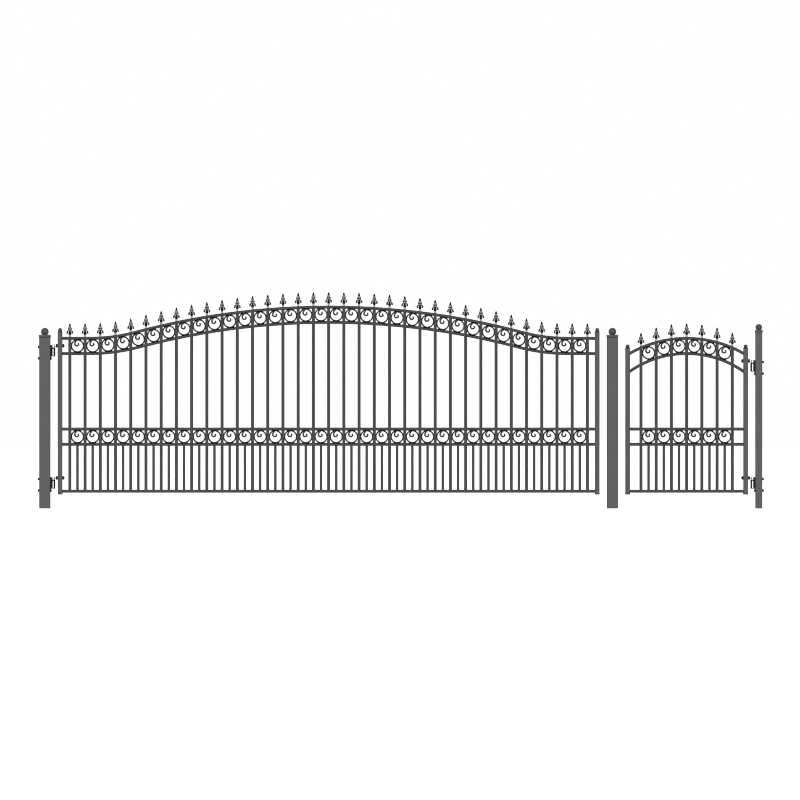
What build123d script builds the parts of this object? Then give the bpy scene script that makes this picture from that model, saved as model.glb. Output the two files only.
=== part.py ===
"""Wrought iron driveway gate: a bell-topped leaf and a matching arched side leaf on three posts.

Millimetres. The origin is the centre of the hinge post's foot, +X runs along the gate from the
hinge post to the side post, +Y points away from the viewer and +Z points up.
"""

from build123d import *
from math import atan, cos, degrees, hypot, pi, sin, sqrt
import os

os.makedirs("parts", exist_ok=True)

# Posts: two main ones and a narrower, taller side post
post_width = 100
post_height = 1534
side_post_width = 63
side_post_height = 1578
cap_flare = 4
cap_flare_height = 20
cap_slab = 7
post_ball_radius = 35
side_ball_radius = 30
ball_sink = 6

# Leaf frames
stile_width = 40
stile_foot = 140
plug_width = 44
plug_height = 15
post_gap = 67
collar_radius = 23
collar_height = 7
dome_radius = 17
dome_height = 32
drive_stile_top = 1585
side_stile_top = 1437

# Rails: tubes deeper than the pickets, so that the pickets pass through punched holes
rail_height = 25
rail_depth = 30
bottom_rail_level = 155
mid_band_level = 645.5
top_band_level = 1462

# Pickets and the ornament between them
picket_width = 25
picket_clearance = 0.2
short_picket_width = 20
ring_diameter = 112
ring_bar = 9
ring_depth = 12
ring_flats = 3
weld_gap = 0.2
drive_picket_count = 35
side_picket_count = 7
drive_end_bay = 88
side_end_bay = 120

# Bell of the driveway leaf: flat shoulders, concave flanks and a convex crown
bell_shoulder = 262
bell_rise = 281
flank_radius = 1690

# Arch of the side leaf, through the middle of its ring band
arch_radius = 965

# Scroll inside each ring, from the ring's wall to its curled end, about the ring's centre
scroll_bar = 9.5
scroll_path = [(-2, 49), (-16.5, 38.5), (-24.5, 24), (-18.5, 7), (-5, 2), (7, 11), (2, 22)]

# Spear heads: a square socket and bulb below two tiers of barbs, as (level, reach) of each corner
spear_height = 123
socket_width = 22
socket_height = 19
bulb_width = 20
lower_barbs = (30, 31)
waist = (62, 15.5)
upper_barbs = (71, 20)
blade_root = (92, 10)
blade_tip = (spear_height, 1)

# Hinges: a bent rod hangs in a barrel that is welded to a plate on the post
plate_thickness = 8
plate_width = 40
plate_height = 135
plate_above_rod = 7
barrel_diameter = 34
barrel_height = 72
rod_diameter = 18
pin_clearance = 0.1
bend_radius = 24
bend_steps = 3
seat_gap = 0.5
thread_end = 24
drive_rod_levels = (274.5, 1464)
side_rod_levels = (274.5, 1327.5)

# Bolts through each hinge plate and its post: a low head on the plate, a domed nut on the far face
bolt_diameter = 12
bolt_clearance = 0.1
bolt_drops = (10.5, 114)
bolt_head_diameter = 20
bolt_head_height = 4.6
bolt_nut_diameter = 22
bolt_nut_height = 14

# Positions that follow from the sizes above
pitch = ring_diameter + picket_width
rail_spacing = ring_diameter + rail_height
stile_to_post = stile_width / 2 + post_gap
drive_hinge_x = post_width / 2 + stile_to_post
drive_span = (drive_picket_count - 1) * pitch + 2 * drive_end_bay
drive_latch_x = drive_hinge_x + drive_span
drive_mid_x = drive_hinge_x + drive_span / 2
latch_post_x = drive_latch_x + stile_to_post + post_width / 2
side_latch_x = latch_post_x + post_width / 2 + stile_to_post
side_span = (side_picket_count - 1) * pitch + 2 * side_end_bay
side_hinge_x = side_latch_x + side_span
side_mid_x = side_latch_x + side_span / 2
side_post_x = side_hinge_x + stile_to_post + side_post_width / 2
axis_offset = plate_thickness + barrel_diameter / 2
drive_axis_x = post_width / 2 + axis_offset
side_axis_x = side_post_x - side_post_width / 2 - axis_offset

# The flank and crown arcs meet at one tangent angle
bell_run = drive_span / 2 - bell_shoulder
bell_angle = 2 * atan(bell_rise / bell_run)
crown_radius = bell_run / sin(bell_angle) - flank_radius


def bell_level(x, offset=0.0):
    """Height of the line that runs parallel to the bell's middle line, offset above it."""
    from_mid = abs(x - drive_mid_x)
    along = bell_run - from_mid
    if along <= 0:
        return top_band_level + offset
    if along <= (flank_radius - offset) * sin(bell_angle):
        drop = sqrt((flank_radius - offset) ** 2 - along**2)
        return top_band_level + flank_radius - drop
    return top_band_level + bell_rise - crown_radius + sqrt((crown_radius + offset) ** 2 - from_mid**2)


def arch_level(x, offset=0.0):
    """Height of the arc that is concentric with the arch's middle line, offset above it."""
    return top_band_level - arch_radius + sqrt((arch_radius + offset) ** 2 - (x - side_mid_x) ** 2)


def flat_level(x, offset=0.0):
    """Height of a level line through the mid band, offset above its middle."""
    return mid_band_level + offset


def slope(level, x):
    """Angle of a band's middle line at x, from its rise over one millimetre."""
    return atan(level(x + 0.5) - level(x - 0.5))


def bell_line(offset):
    """Draw the bell's middle line, offset upward, from the hinge stile to the latch stile."""
    start, end = drive_hinge_x + stile_width / 2, drive_latch_x - stile_width / 2
    level = top_band_level + offset
    flank, crown = flank_radius - offset, crown_radius + offset
    knee = flank * sin(bell_angle)
    left, right = drive_mid_x - bell_run, drive_mid_x + bell_run
    shoulder = level + flank * (1 - cos(bell_angle))
    near = level + flank * (1 - cos(bell_angle / 2))
    Line((start, level), (left, level))
    ThreePointArc((left, level), (left + flank * sin(bell_angle / 2), near), (left + knee, shoulder))
    ThreePointArc(
        (left + knee, shoulder), (drive_mid_x, bell_level(drive_mid_x, offset)), (right - knee, shoulder)
    )
    ThreePointArc((right - knee, shoulder), (right - flank * sin(bell_angle / 2), near), (right, level))
    Line((right, level), (end, level))
    return (start, level), (end, level)


def arch_line(offset):
    """Draw the arch's middle line, offset upward, from the latch stile to the hinge stile."""
    start, end = side_latch_x + stile_width / 2, side_hinge_x - stile_width / 2
    ends = (start, arch_level(start, offset)), (end, arch_level(end, offset))
    ThreePointArc(ends[0], (side_mid_x, arch_level(side_mid_x, offset)), ends[1])
    return ends


def curved_rail(line, offset):
    """Tube that follows a curved line, closed at both stiles."""
    with BuildPart() as rail:
        with BuildSketch(Plane.XZ):
            with BuildLine():
                upper = line(offset + rail_height / 2)
                lower = line(offset - rail_height / 2)
                Line(upper[0], lower[0])
                Line(upper[1], lower[1])
            make_face()
        extrude(amount=rail_depth / 2, both=True)
    return rail


def level_rail(start, end, level):
    """Straight tube between the faces of two stiles."""
    with BuildPart() as rail:
        with BuildSketch(Plane.YZ.offset(start)):
            with Locations((0, level)):
                Rectangle(rail_depth, rail_height)
        extrude(amount=end - start)
    return rail


def punched(rail, columns):
    """The same tube with a square hole for each picket."""
    with BuildPart() as holed:
        add(rail.part)
        with BuildSketch(Plane.XY):
            with Locations(*[(x, 0) for x in columns]):
                Rectangle(picket_width + 2 * picket_clearance, picket_width + 2 * picket_clearance)
        extrude(amount=post_height + bell_rise, mode=Mode.SUBTRACT)
    return holed


def ring_outline(radius, tilt):
    """Corners of a ring wall drawn with flats: two face the pickets and two face the sloping rails."""
    turns = []
    for quarter in range(4):
        first = quarter * pi / 2 + (tilt if quarter % 2 else 0)
        last = (quarter + 1) * pi / 2 + (0 if quarter % 2 else tilt)
        turns += [first + (last - first) * step / ring_flats for step in range(ring_flats)]
    corners = []
    for here, after in zip(turns, turns[1:] + [turns[0] + 2 * pi]):
        middle, reach = (here + after) / 2, radius / cos((after - here) / 2)
        corners.append((reach * cos(middle), reach * sin(middle)))
    return corners


def bar_outline(path, width):
    """Outline of a flat bar bent along a path, square at its root and pointed at its end."""
    left, right = [], []
    for i, (x, z) in enumerate(path[:-1]):
        x0, z0 = path[max(i - 1, 0)]
        x1, z1 = path[i + 1]
        run = hypot(x1 - x0, z1 - z0)
        nx, nz = -(z1 - z0) / run * width / 2, (x1 - x0) / run * width / 2
        left.append((x + nx, z + nz))
        right.append((x - nx, z - nz))
    return left + [path[-1]] + right[::-1]


def scrolled_ring(x, z, tilt):
    """Ring of flat bar whose end leaves the wall and curls into a scroll."""
    with BuildPart() as ring:
        with BuildSketch(Plane.XZ):
            with Locations((x, z)):
                Polygon(*ring_outline(ring_diameter / 2 - weld_gap, tilt), align=None)
                Polygon(*ring_outline(ring_diameter / 2 - ring_bar, tilt), align=None, mode=Mode.SUBTRACT)
                Polygon(*bar_outline(scroll_path, scroll_bar), align=None)
        extrude(amount=ring_depth / 2, both=True)
    return ring


def ring_row(level, columns):
    """One ring in each bay between two pickets."""
    middles = [(left + right) / 2 for left, right in zip(columns, columns[1:])]
    with BuildPart() as row:
        add([scrolled_ring(x, level(x), slope(level, x)).part for x in middles])
    return row


def picket_row(columns, foot, level, offset, width):
    """Upright bars from one level foot to the underside of the rail above them."""
    with BuildPart() as row:
        with BuildSketch(Plane.XZ):
            for x in columns:
                left, right = x - width / 2, x + width / 2
                tops = [level(side, offset - rail_height / 2) - weld_gap for side in (left, right)]
                Polygon((left, foot), (right, foot), (right, tops[1]), (left, tops[0]), align=None)
        extrude(amount=width / 2, both=True)
    return row


def taper(near, far, height):
    """Taper in degrees of a face that runs from near to far across a height."""
    return degrees(atan((near - far) / height))


def spear(x, level, offset):
    """Spear head with two tiers of barbs, its socket cut to the slope of the rail that it stands on."""
    top = level(x, offset + rail_height / 2)
    left, right = x - socket_width / 2, x + socket_width / 2
    feet = [level(side, offset + rail_height / 2) + weld_gap for side in (left, right)]
    brim = top + socket_height
    tiers = (lower_barbs, waist), (waist, upper_barbs), (upper_barbs, blade_root), (blade_root, blade_tip)
    with BuildPart() as head:
        with BuildSketch(Plane.XZ):
            Polygon((left, feet[0]), (right, feet[1]), (right, brim), (left, brim), align=None)
        extrude(amount=socket_width / 2, both=True)
        with BuildSketch(Plane((x, 0, brim))):
            Rectangle(bulb_width, bulb_width)
        extrude(amount=lower_barbs[0] - socket_height)
        for (foot, near), (tip, far) in tiers:
            near_half, far_half = near * cos(pi / 4), far * cos(pi / 4)
            with BuildSketch(Plane((x, 0, top + foot))):
                Rectangle(2 * near_half, 2 * near_half, rotation=45)
            extrude(amount=tip - foot, taper=taper(near_half, far_half, tip - foot))
    return head


def spear_row(columns, level, offset):
    """A spear head over each picket."""
    with BuildPart() as row:
        add([spear(x, level, offset).part for x in columns])
    return row


def upright(x, y_width, foot, top):
    """Square tube standing on a level foot."""
    with BuildPart() as tube:
        with BuildSketch(Plane.XY.offset(foot)):
            with Locations((x, 0)):
                Rectangle(y_width, y_width)
        extrude(amount=top - foot)
    return tube


def bolt_bores(x, width, rod_levels):
    """Solids of the holes for the hinge bolts across a post or a plate."""
    with BuildPart() as bores:
        with BuildSketch(Plane.YZ.offset(x - width / 2)):
            with Locations(*[(0, level - drop) for level in rod_levels for drop in bolt_drops]):
                Circle(bolt_diameter / 2 + bolt_clearance)
        extrude(amount=width)
    return bores


def bored_post(x, width, height, rod_levels):
    """Post that carries a leaf, with the holes for its hinge bolts."""
    with BuildPart() as post:
        add(upright(x, width, 0, height).part)
        add(bolt_bores(x, width, rod_levels).part, mode=Mode.SUBTRACT)
    return post


def bored_stile(x, top, rod_levels):
    """Hinge stile with a hole for each hinge rod."""
    with BuildPart() as stile:
        add(upright(x, stile_width, stile_foot, top).part)
        with BuildSketch(Plane.YZ.offset(x - stile_width / 2)):
            with Locations(*[(0, level) for level in rod_levels]):
                Circle(rod_diameter / 2 + pin_clearance)
        extrude(amount=stile_width, mode=Mode.SUBTRACT)
    return stile


def stile_finials(columns, top):
    """Collar and round-topped dome on the top of each stile."""
    shoulder = collar_height + dome_height - dome_radius
    with BuildPart() as finial:
        with BuildSketch():
            Circle(collar_radius)
        extrude(amount=collar_height)
        with BuildSketch(Plane.XY.offset(collar_height)):
            Circle(dome_radius)
        extrude(amount=shoulder - collar_height)
        with Locations((0, 0, shoulder)):
            Sphere(dome_radius, arc_size1=0, align=(Align.CENTER, Align.CENTER, Align.MIN))
    with BuildPart() as finials:
        with Locations(*[(x, 0, top) for x in columns]):
            add(finial.part)
    return finials


def stile_plugs(columns):
    """Closed foot under each stile."""
    with BuildPart() as plugs:
        with BuildSketch(Plane.XY.offset(stile_foot - plug_height)):
            with Locations(*[(x, 0) for x in columns]):
                Rectangle(plug_width, plug_width)
        extrude(amount=plug_height)
    return plugs


def hinge_pins(axis_x, stile_x, rod_levels):
    """Bent rods: each passes through the stile, bends down and ends as a pin in its barrel."""
    toward = 1 if stile_x > axis_x else -1
    arm_end = stile_x + toward * (stile_width / 2 + thread_end)
    bend_x = axis_x + toward * bend_radius
    turn = pi / 2 / bend_steps
    with BuildPart() as pins:
        for level in rod_levels:
            pin_top = level - bend_radius
            reach = bend_radius / cos(turn / 2)
            corners = [
                (bend_x - toward * reach * sin((i + 0.5) * turn), pin_top + reach * cos((i + 0.5) * turn))
                for i in range(bend_steps)
            ]
            with BuildLine(Plane.XZ):
                Polyline((arm_end, level), *corners, (axis_x, pin_top - barrel_height))
            with BuildSketch(Plane((arm_end, 0, level), x_dir=(0, 1, 0), z_dir=(-toward, 0, 0))):
                Circle(rod_diameter / 2)
            sweep(transition=Transition.RIGHT)
    return pins


def hinge_brackets(places):
    """Plate with a bored barrel for each hinge, on the face of its post."""
    with BuildPart() as brackets:
        for axis_x, toward, level in places:
            plate_x = axis_x - toward * (barrel_diameter + plate_thickness) / 2
            barrel_top = level - bend_radius - seat_gap
            with BuildSketch(Plane.XY.offset(level + plate_above_rod)):
                with Locations((plate_x, 0)):
                    Rectangle(plate_thickness, plate_width)
            extrude(amount=-plate_height)
            add(bolt_bores(plate_x, plate_thickness, [level]).part, mode=Mode.SUBTRACT)
            with BuildSketch(Plane.XY.offset(barrel_top)):
                with Locations((axis_x, 0)):
                    Circle(barrel_diameter / 2)
                with Locations((axis_x - toward * barrel_diameter / 4, 0)):
                    Rectangle(barrel_diameter / 2, barrel_diameter * 0.6)
                with Locations((axis_x, 0)):
                    Circle(rod_diameter / 2 + pin_clearance, mode=Mode.SUBTRACT)
            extrude(amount=-barrel_height)
    return brackets


def hinge_bolts(places):
    """Bolts through the plates and the posts behind them, from the plate's face to the far face."""
    with BuildPart() as bolts:
        for axis_x, toward, level, post_size in places:
            head_x = axis_x - toward * (barrel_diameter / 2 - bolt_head_height)
            nut_start = bolt_head_height + plate_thickness + post_size + bolt_clearance
            nut_end = nut_start - bolt_clearance + bolt_nut_height
            for drop in bolt_drops:
                for start, end, diameter in (
                    (0, bolt_head_height - bolt_clearance, bolt_head_diameter),
                    (0, nut_end, bolt_diameter),
                    (nut_start, nut_end, bolt_nut_diameter),
                ):
                    face = (head_x - toward * start, 0, level - drop)
                    with BuildSketch(Plane(face, x_dir=(0, 1, 0), z_dir=(-toward, 0, 0))):
                        Circle(diameter / 2)
                    extrude(amount=end - start)
    return bolts


def post_caps(places):
    """Flared cap with a slab top and a ball on each post."""
    with BuildPart() as caps:
        for x, width, top, ball in places:
            with BuildSketch(Plane((x, 0, top))):
                Rectangle(width, width)
            extrude(amount=cap_flare_height, taper=-taper(cap_flare, 0, cap_flare_height))
            with BuildSketch(Plane((x, 0, top + cap_flare_height))):
                Rectangle(width + 2 * cap_flare, width + 2 * cap_flare)
            extrude(amount=cap_slab)
            with Locations((x, 0, top + cap_flare_height + cap_slab + ball - ball_sink)):
                Sphere(ball)
    return caps


# Where the pickets stand
drive_columns = [drive_hinge_x + drive_end_bay + i * pitch for i in range(drive_picket_count)]
drive_middles = [x + pitch / 2 for x in drive_columns[:-1]]
side_columns = [side_latch_x + side_end_bay + i * pitch for i in range(side_picket_count)]
side_middles = [x + pitch / 2 for x in side_columns[:-1]]
upper, lower = rail_spacing / 2, -rail_spacing / 2
picket_foot = bottom_rail_level + rail_height / 2
mid_lower_level = mid_band_level + lower
drive_faces = drive_hinge_x + stile_width / 2, drive_latch_x - stile_width / 2
side_faces = side_latch_x + stile_width / 2, side_hinge_x - stile_width / 2

pieces = {
    # Posts and what is fixed to them
    "hinge_post": bored_post(0, post_width, post_height, drive_rod_levels),
    "latch_post": upright(latch_post_x, post_width, 0, post_height),
    "side_post": bored_post(side_post_x, side_post_width, side_post_height, side_rod_levels),
    "post_caps": post_caps(
        (
            (0, post_width, post_height, post_ball_radius),
            (latch_post_x, post_width, post_height, post_ball_radius),
            (side_post_x, side_post_width, side_post_height, side_ball_radius),
        )
    ),
    "hinge_brackets": hinge_brackets(
        [(drive_axis_x, 1, level) for level in drive_rod_levels]
        + [(side_axis_x, -1, level) for level in side_rod_levels]
    ),
    "hinge_bolts": hinge_bolts(
        [(drive_axis_x, 1, level, post_width) for level in drive_rod_levels]
        + [(side_axis_x, -1, level, side_post_width) for level in side_rod_levels]
    ),
    # Driveway leaf
    "drive_hinge_stile": bored_stile(drive_hinge_x, drive_stile_top, drive_rod_levels),
    "drive_latch_stile": upright(drive_latch_x, stile_width, stile_foot, drive_stile_top),
    "drive_stile_finials": stile_finials((drive_hinge_x, drive_latch_x), drive_stile_top),
    "drive_stile_plugs": stile_plugs((drive_hinge_x, drive_latch_x)),
    "drive_bell_rail_upper": curved_rail(bell_line, upper),
    "drive_bell_rail_lower": punched(curved_rail(bell_line, lower), drive_columns),
    "drive_mid_rail_upper": punched(level_rail(*drive_faces, mid_band_level + upper), drive_columns),
    "drive_mid_rail_lower": punched(level_rail(*drive_faces, mid_lower_level), drive_columns),
    "drive_bottom_rail": level_rail(*drive_faces, bottom_rail_level),
    "drive_pickets": picket_row(drive_columns, picket_foot, bell_level, upper, picket_width),
    "drive_short_pickets": picket_row(drive_middles, picket_foot, flat_level, lower, short_picket_width),
    "drive_top_rings": ring_row(bell_level, drive_columns),
    "drive_mid_rings": ring_row(flat_level, drive_columns),
    "drive_spears": spear_row(drive_columns, bell_level, upper),
    "drive_hinge_pins": hinge_pins(drive_axis_x, drive_hinge_x, drive_rod_levels),
    # Side leaf
    "side_hinge_stile": bored_stile(side_hinge_x, side_stile_top, side_rod_levels),
    "side_latch_stile": upright(side_latch_x, stile_width, stile_foot, side_stile_top),
    "side_stile_finials": stile_finials((side_latch_x, side_hinge_x), side_stile_top),
    "side_stile_plugs": stile_plugs((side_latch_x, side_hinge_x)),
    "side_arch_rail_upper": curved_rail(arch_line, upper),
    "side_arch_rail_lower": punched(curved_rail(arch_line, lower), side_columns),
    "side_mid_rail_upper": punched(level_rail(*side_faces, mid_band_level + upper), side_columns),
    "side_mid_rail_lower": punched(level_rail(*side_faces, mid_lower_level), side_columns),
    "side_bottom_rail": level_rail(*side_faces, bottom_rail_level),
    "side_pickets": picket_row(side_columns, picket_foot, arch_level, upper, picket_width),
    "side_short_pickets": picket_row(side_middles, picket_foot, flat_level, lower, short_picket_width),
    "side_top_rings": ring_row(arch_level, side_columns),
    "side_mid_rings": ring_row(flat_level, side_columns),
    "side_spears": spear_row(side_columns, arch_level, upper),
    "side_hinge_pins": hinge_pins(side_axis_x, side_hinge_x, side_rod_levels),
}

for name, piece in pieces.items():
    piece.part.label = name
    export_step(piece.part, f"parts/{name}.step")
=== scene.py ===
"""Wrought iron driveway gate: its posts, two leaves and hinges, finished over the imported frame.

Metres. The origin is the centre of the hinge post's foot, +X runs along the gate from the hinge
post to the side post, +Y points away from the viewer and +Z points up.
"""

import logging
from collections.abc import Iterable, Sequence
from dataclasses import dataclass, field
from enum import Enum
from math import atan, cos, hypot, pi, radians, sin, sqrt

import bmesh
import bpy
from mathutils import Matrix, Vector

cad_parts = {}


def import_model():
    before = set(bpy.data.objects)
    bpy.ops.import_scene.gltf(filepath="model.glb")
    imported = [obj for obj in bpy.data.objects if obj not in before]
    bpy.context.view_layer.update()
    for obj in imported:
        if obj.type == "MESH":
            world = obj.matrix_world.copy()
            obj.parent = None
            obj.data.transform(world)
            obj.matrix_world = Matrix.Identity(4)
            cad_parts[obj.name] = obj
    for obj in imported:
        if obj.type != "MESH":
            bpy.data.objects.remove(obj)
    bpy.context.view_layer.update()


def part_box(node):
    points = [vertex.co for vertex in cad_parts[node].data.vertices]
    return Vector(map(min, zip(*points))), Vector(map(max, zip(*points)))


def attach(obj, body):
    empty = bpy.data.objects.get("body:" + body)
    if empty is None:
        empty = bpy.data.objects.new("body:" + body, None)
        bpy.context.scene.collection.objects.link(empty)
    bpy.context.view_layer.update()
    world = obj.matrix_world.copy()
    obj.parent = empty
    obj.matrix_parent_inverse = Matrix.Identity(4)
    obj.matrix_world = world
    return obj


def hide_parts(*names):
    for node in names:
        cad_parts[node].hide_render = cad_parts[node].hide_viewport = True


log = logging.getLogger("gate")

SAME_PLACE = 1e-9  # metres between two points that count as one
TILT_STEP = 0.0005  # metres to each side of a point at which a line's slope is taken
CORNER_CUT = 0.6  # share of a corner's radius that is cut from each of its sides
HEXAGON_SMOOTH = 28.0  # degrees up to which edges are shaded smooth, so that a nut's faces stay flat

Verts = list[bmesh.types.BMVert]
Profile = list[tuple[float, float]]
Pairs = tuple[tuple[float, float], ...]


class Body(str, Enum):
    """The bodies of the gate that a piece can ride on."""

    POSTS = "posts"
    DRIVE_LEAF = "drive_leaf"
    SIDE_LEAF = "side_leaf"


# --------------------------------------------------------------------------- shader effects


class Effect(Enum):
    """Shader effects that several finishes share, each one node group."""

    MOTTLE = "colour_mottle"
    GRAIN = "coat_grain"
    WEAR = "edge_wear"
    DUST = "settled_dust"


class NodeBoard:
    """A node tree with short ways to place nodes and join them."""

    def __init__(self, tree: bpy.types.NodeTree) -> None:
        """Start on a tree and clear it.

        Args:
            tree: The node tree to fill.
        """
        self.tree = tree
        tree.nodes.clear()

    def node(
        self, kind: str, settings: dict[str, object] | None = None, **inputs: object
    ) -> bpy.types.Node:
        """Place a node, set it and feed its inputs.

        Args:
            kind: Blender's name of the node type, without the ShaderNode prefix.
            settings: Attributes of the node.
            **inputs: Values or sockets for inputs, by name with spaces as underscores, or iN by index.

        Returns:
            The new node.
        """
        made = self.tree.nodes.new(kind if kind.startswith("Node") else f"ShaderNode{kind}")
        for name, value in (settings or {}).items():
            setattr(made, name, value)
        for name, value in inputs.items():
            key = int(name[1:]) if name[0] == "i" and name[1:].isdigit() else name.replace("_", " ")
            self.feed(made.inputs[key], value)
        return made

    def feed(self, socket: bpy.types.NodeSocket, value: object) -> None:
        """Join a socket to another one, or write a value on it.

        Args:
            socket: The input to feed.
            value: An output socket, a number or a colour.
        """
        if isinstance(value, bpy.types.NodeSocket):
            self.tree.links.new(value, socket)
        elif isinstance(value, tuple) and len(value) == 3 and socket.type == "RGBA":
            socket.default_value = (*value, 1.0)
        else:
            socket.default_value = value

    def math(
        self, operation: str, first: object, second: object = 0.5, clamp: bool = False
    ) -> bpy.types.NodeSocket:
        """Place a Math node.

        Args:
            operation: The node's operation.
            first: First operand.
            second: Second operand.
            clamp: Whether the result is kept between 0 and 1.

        Returns:
            The result's socket.
        """
        settings = {"operation": operation, "use_clamp": clamp}
        return self.node("Math", settings, i0=first, i1=second).outputs[0]

    def spread(
        self, value: object, low: float, high: float, to_low: float = 0.0, to_high: float = 1.0
    ) -> bpy.types.NodeSocket:
        """Stretch the range low to high over the range to_low to to_high, clamped.

        Args:
            value: The socket to stretch.
            low: Value that becomes to_low.
            high: Value that becomes to_high.
            to_low: Result at low.
            to_high: Result at high.

        Returns:
            The stretched value's socket.
        """
        made = self.node("MapRange", {"clamp": True}, i0=value, i1=low, i2=high, i3=to_low, i4=to_high)
        return made.outputs[0]

    def noise(
        self, place: object, scale: object, detail: float = 3.0, roughness: float = 0.55
    ) -> bpy.types.NodeSocket:
        """Place a noise texture.

        Args:
            place: Coordinates socket.
            scale: Noise scale per metre.
            detail: Octaves.
            roughness: Weight of the finer octaves.

        Returns:
            The noise value's socket.
        """
        made = self.node("TexNoise", None, Vector=place, Scale=scale, Detail=detail, Roughness=roughness)
        return made.outputs["Fac"]

    def blend(
        self, factor: object, first: object, second: object, mode: str = "MIX"
    ) -> bpy.types.NodeSocket:
        """Mix two colours.

        Args:
            factor: How much of the second.
            first: First colour.
            second: Second colour.
            mode: Blend type.

        Returns:
            The mixed colour's socket.
        """
        settings = {"data_type": "RGBA", "blend_type": mode}
        return self.node("Mix", settings, i0=factor, i6=first, i7=second).outputs[2]

    def grey(self, tone: object) -> bpy.types.NodeSocket:
        """Place a colour whose three parts are one value."""
        return self.node("CombineColor", None, i0=tone, i1=tone, i2=tone).outputs[0]

    def group(self, tree: bpy.types.NodeTree, **inputs: object) -> bpy.types.Node:
        """Place a node group and feed its inputs."""
        return self.node("Group", {"node_tree": tree}, **inputs)


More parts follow.
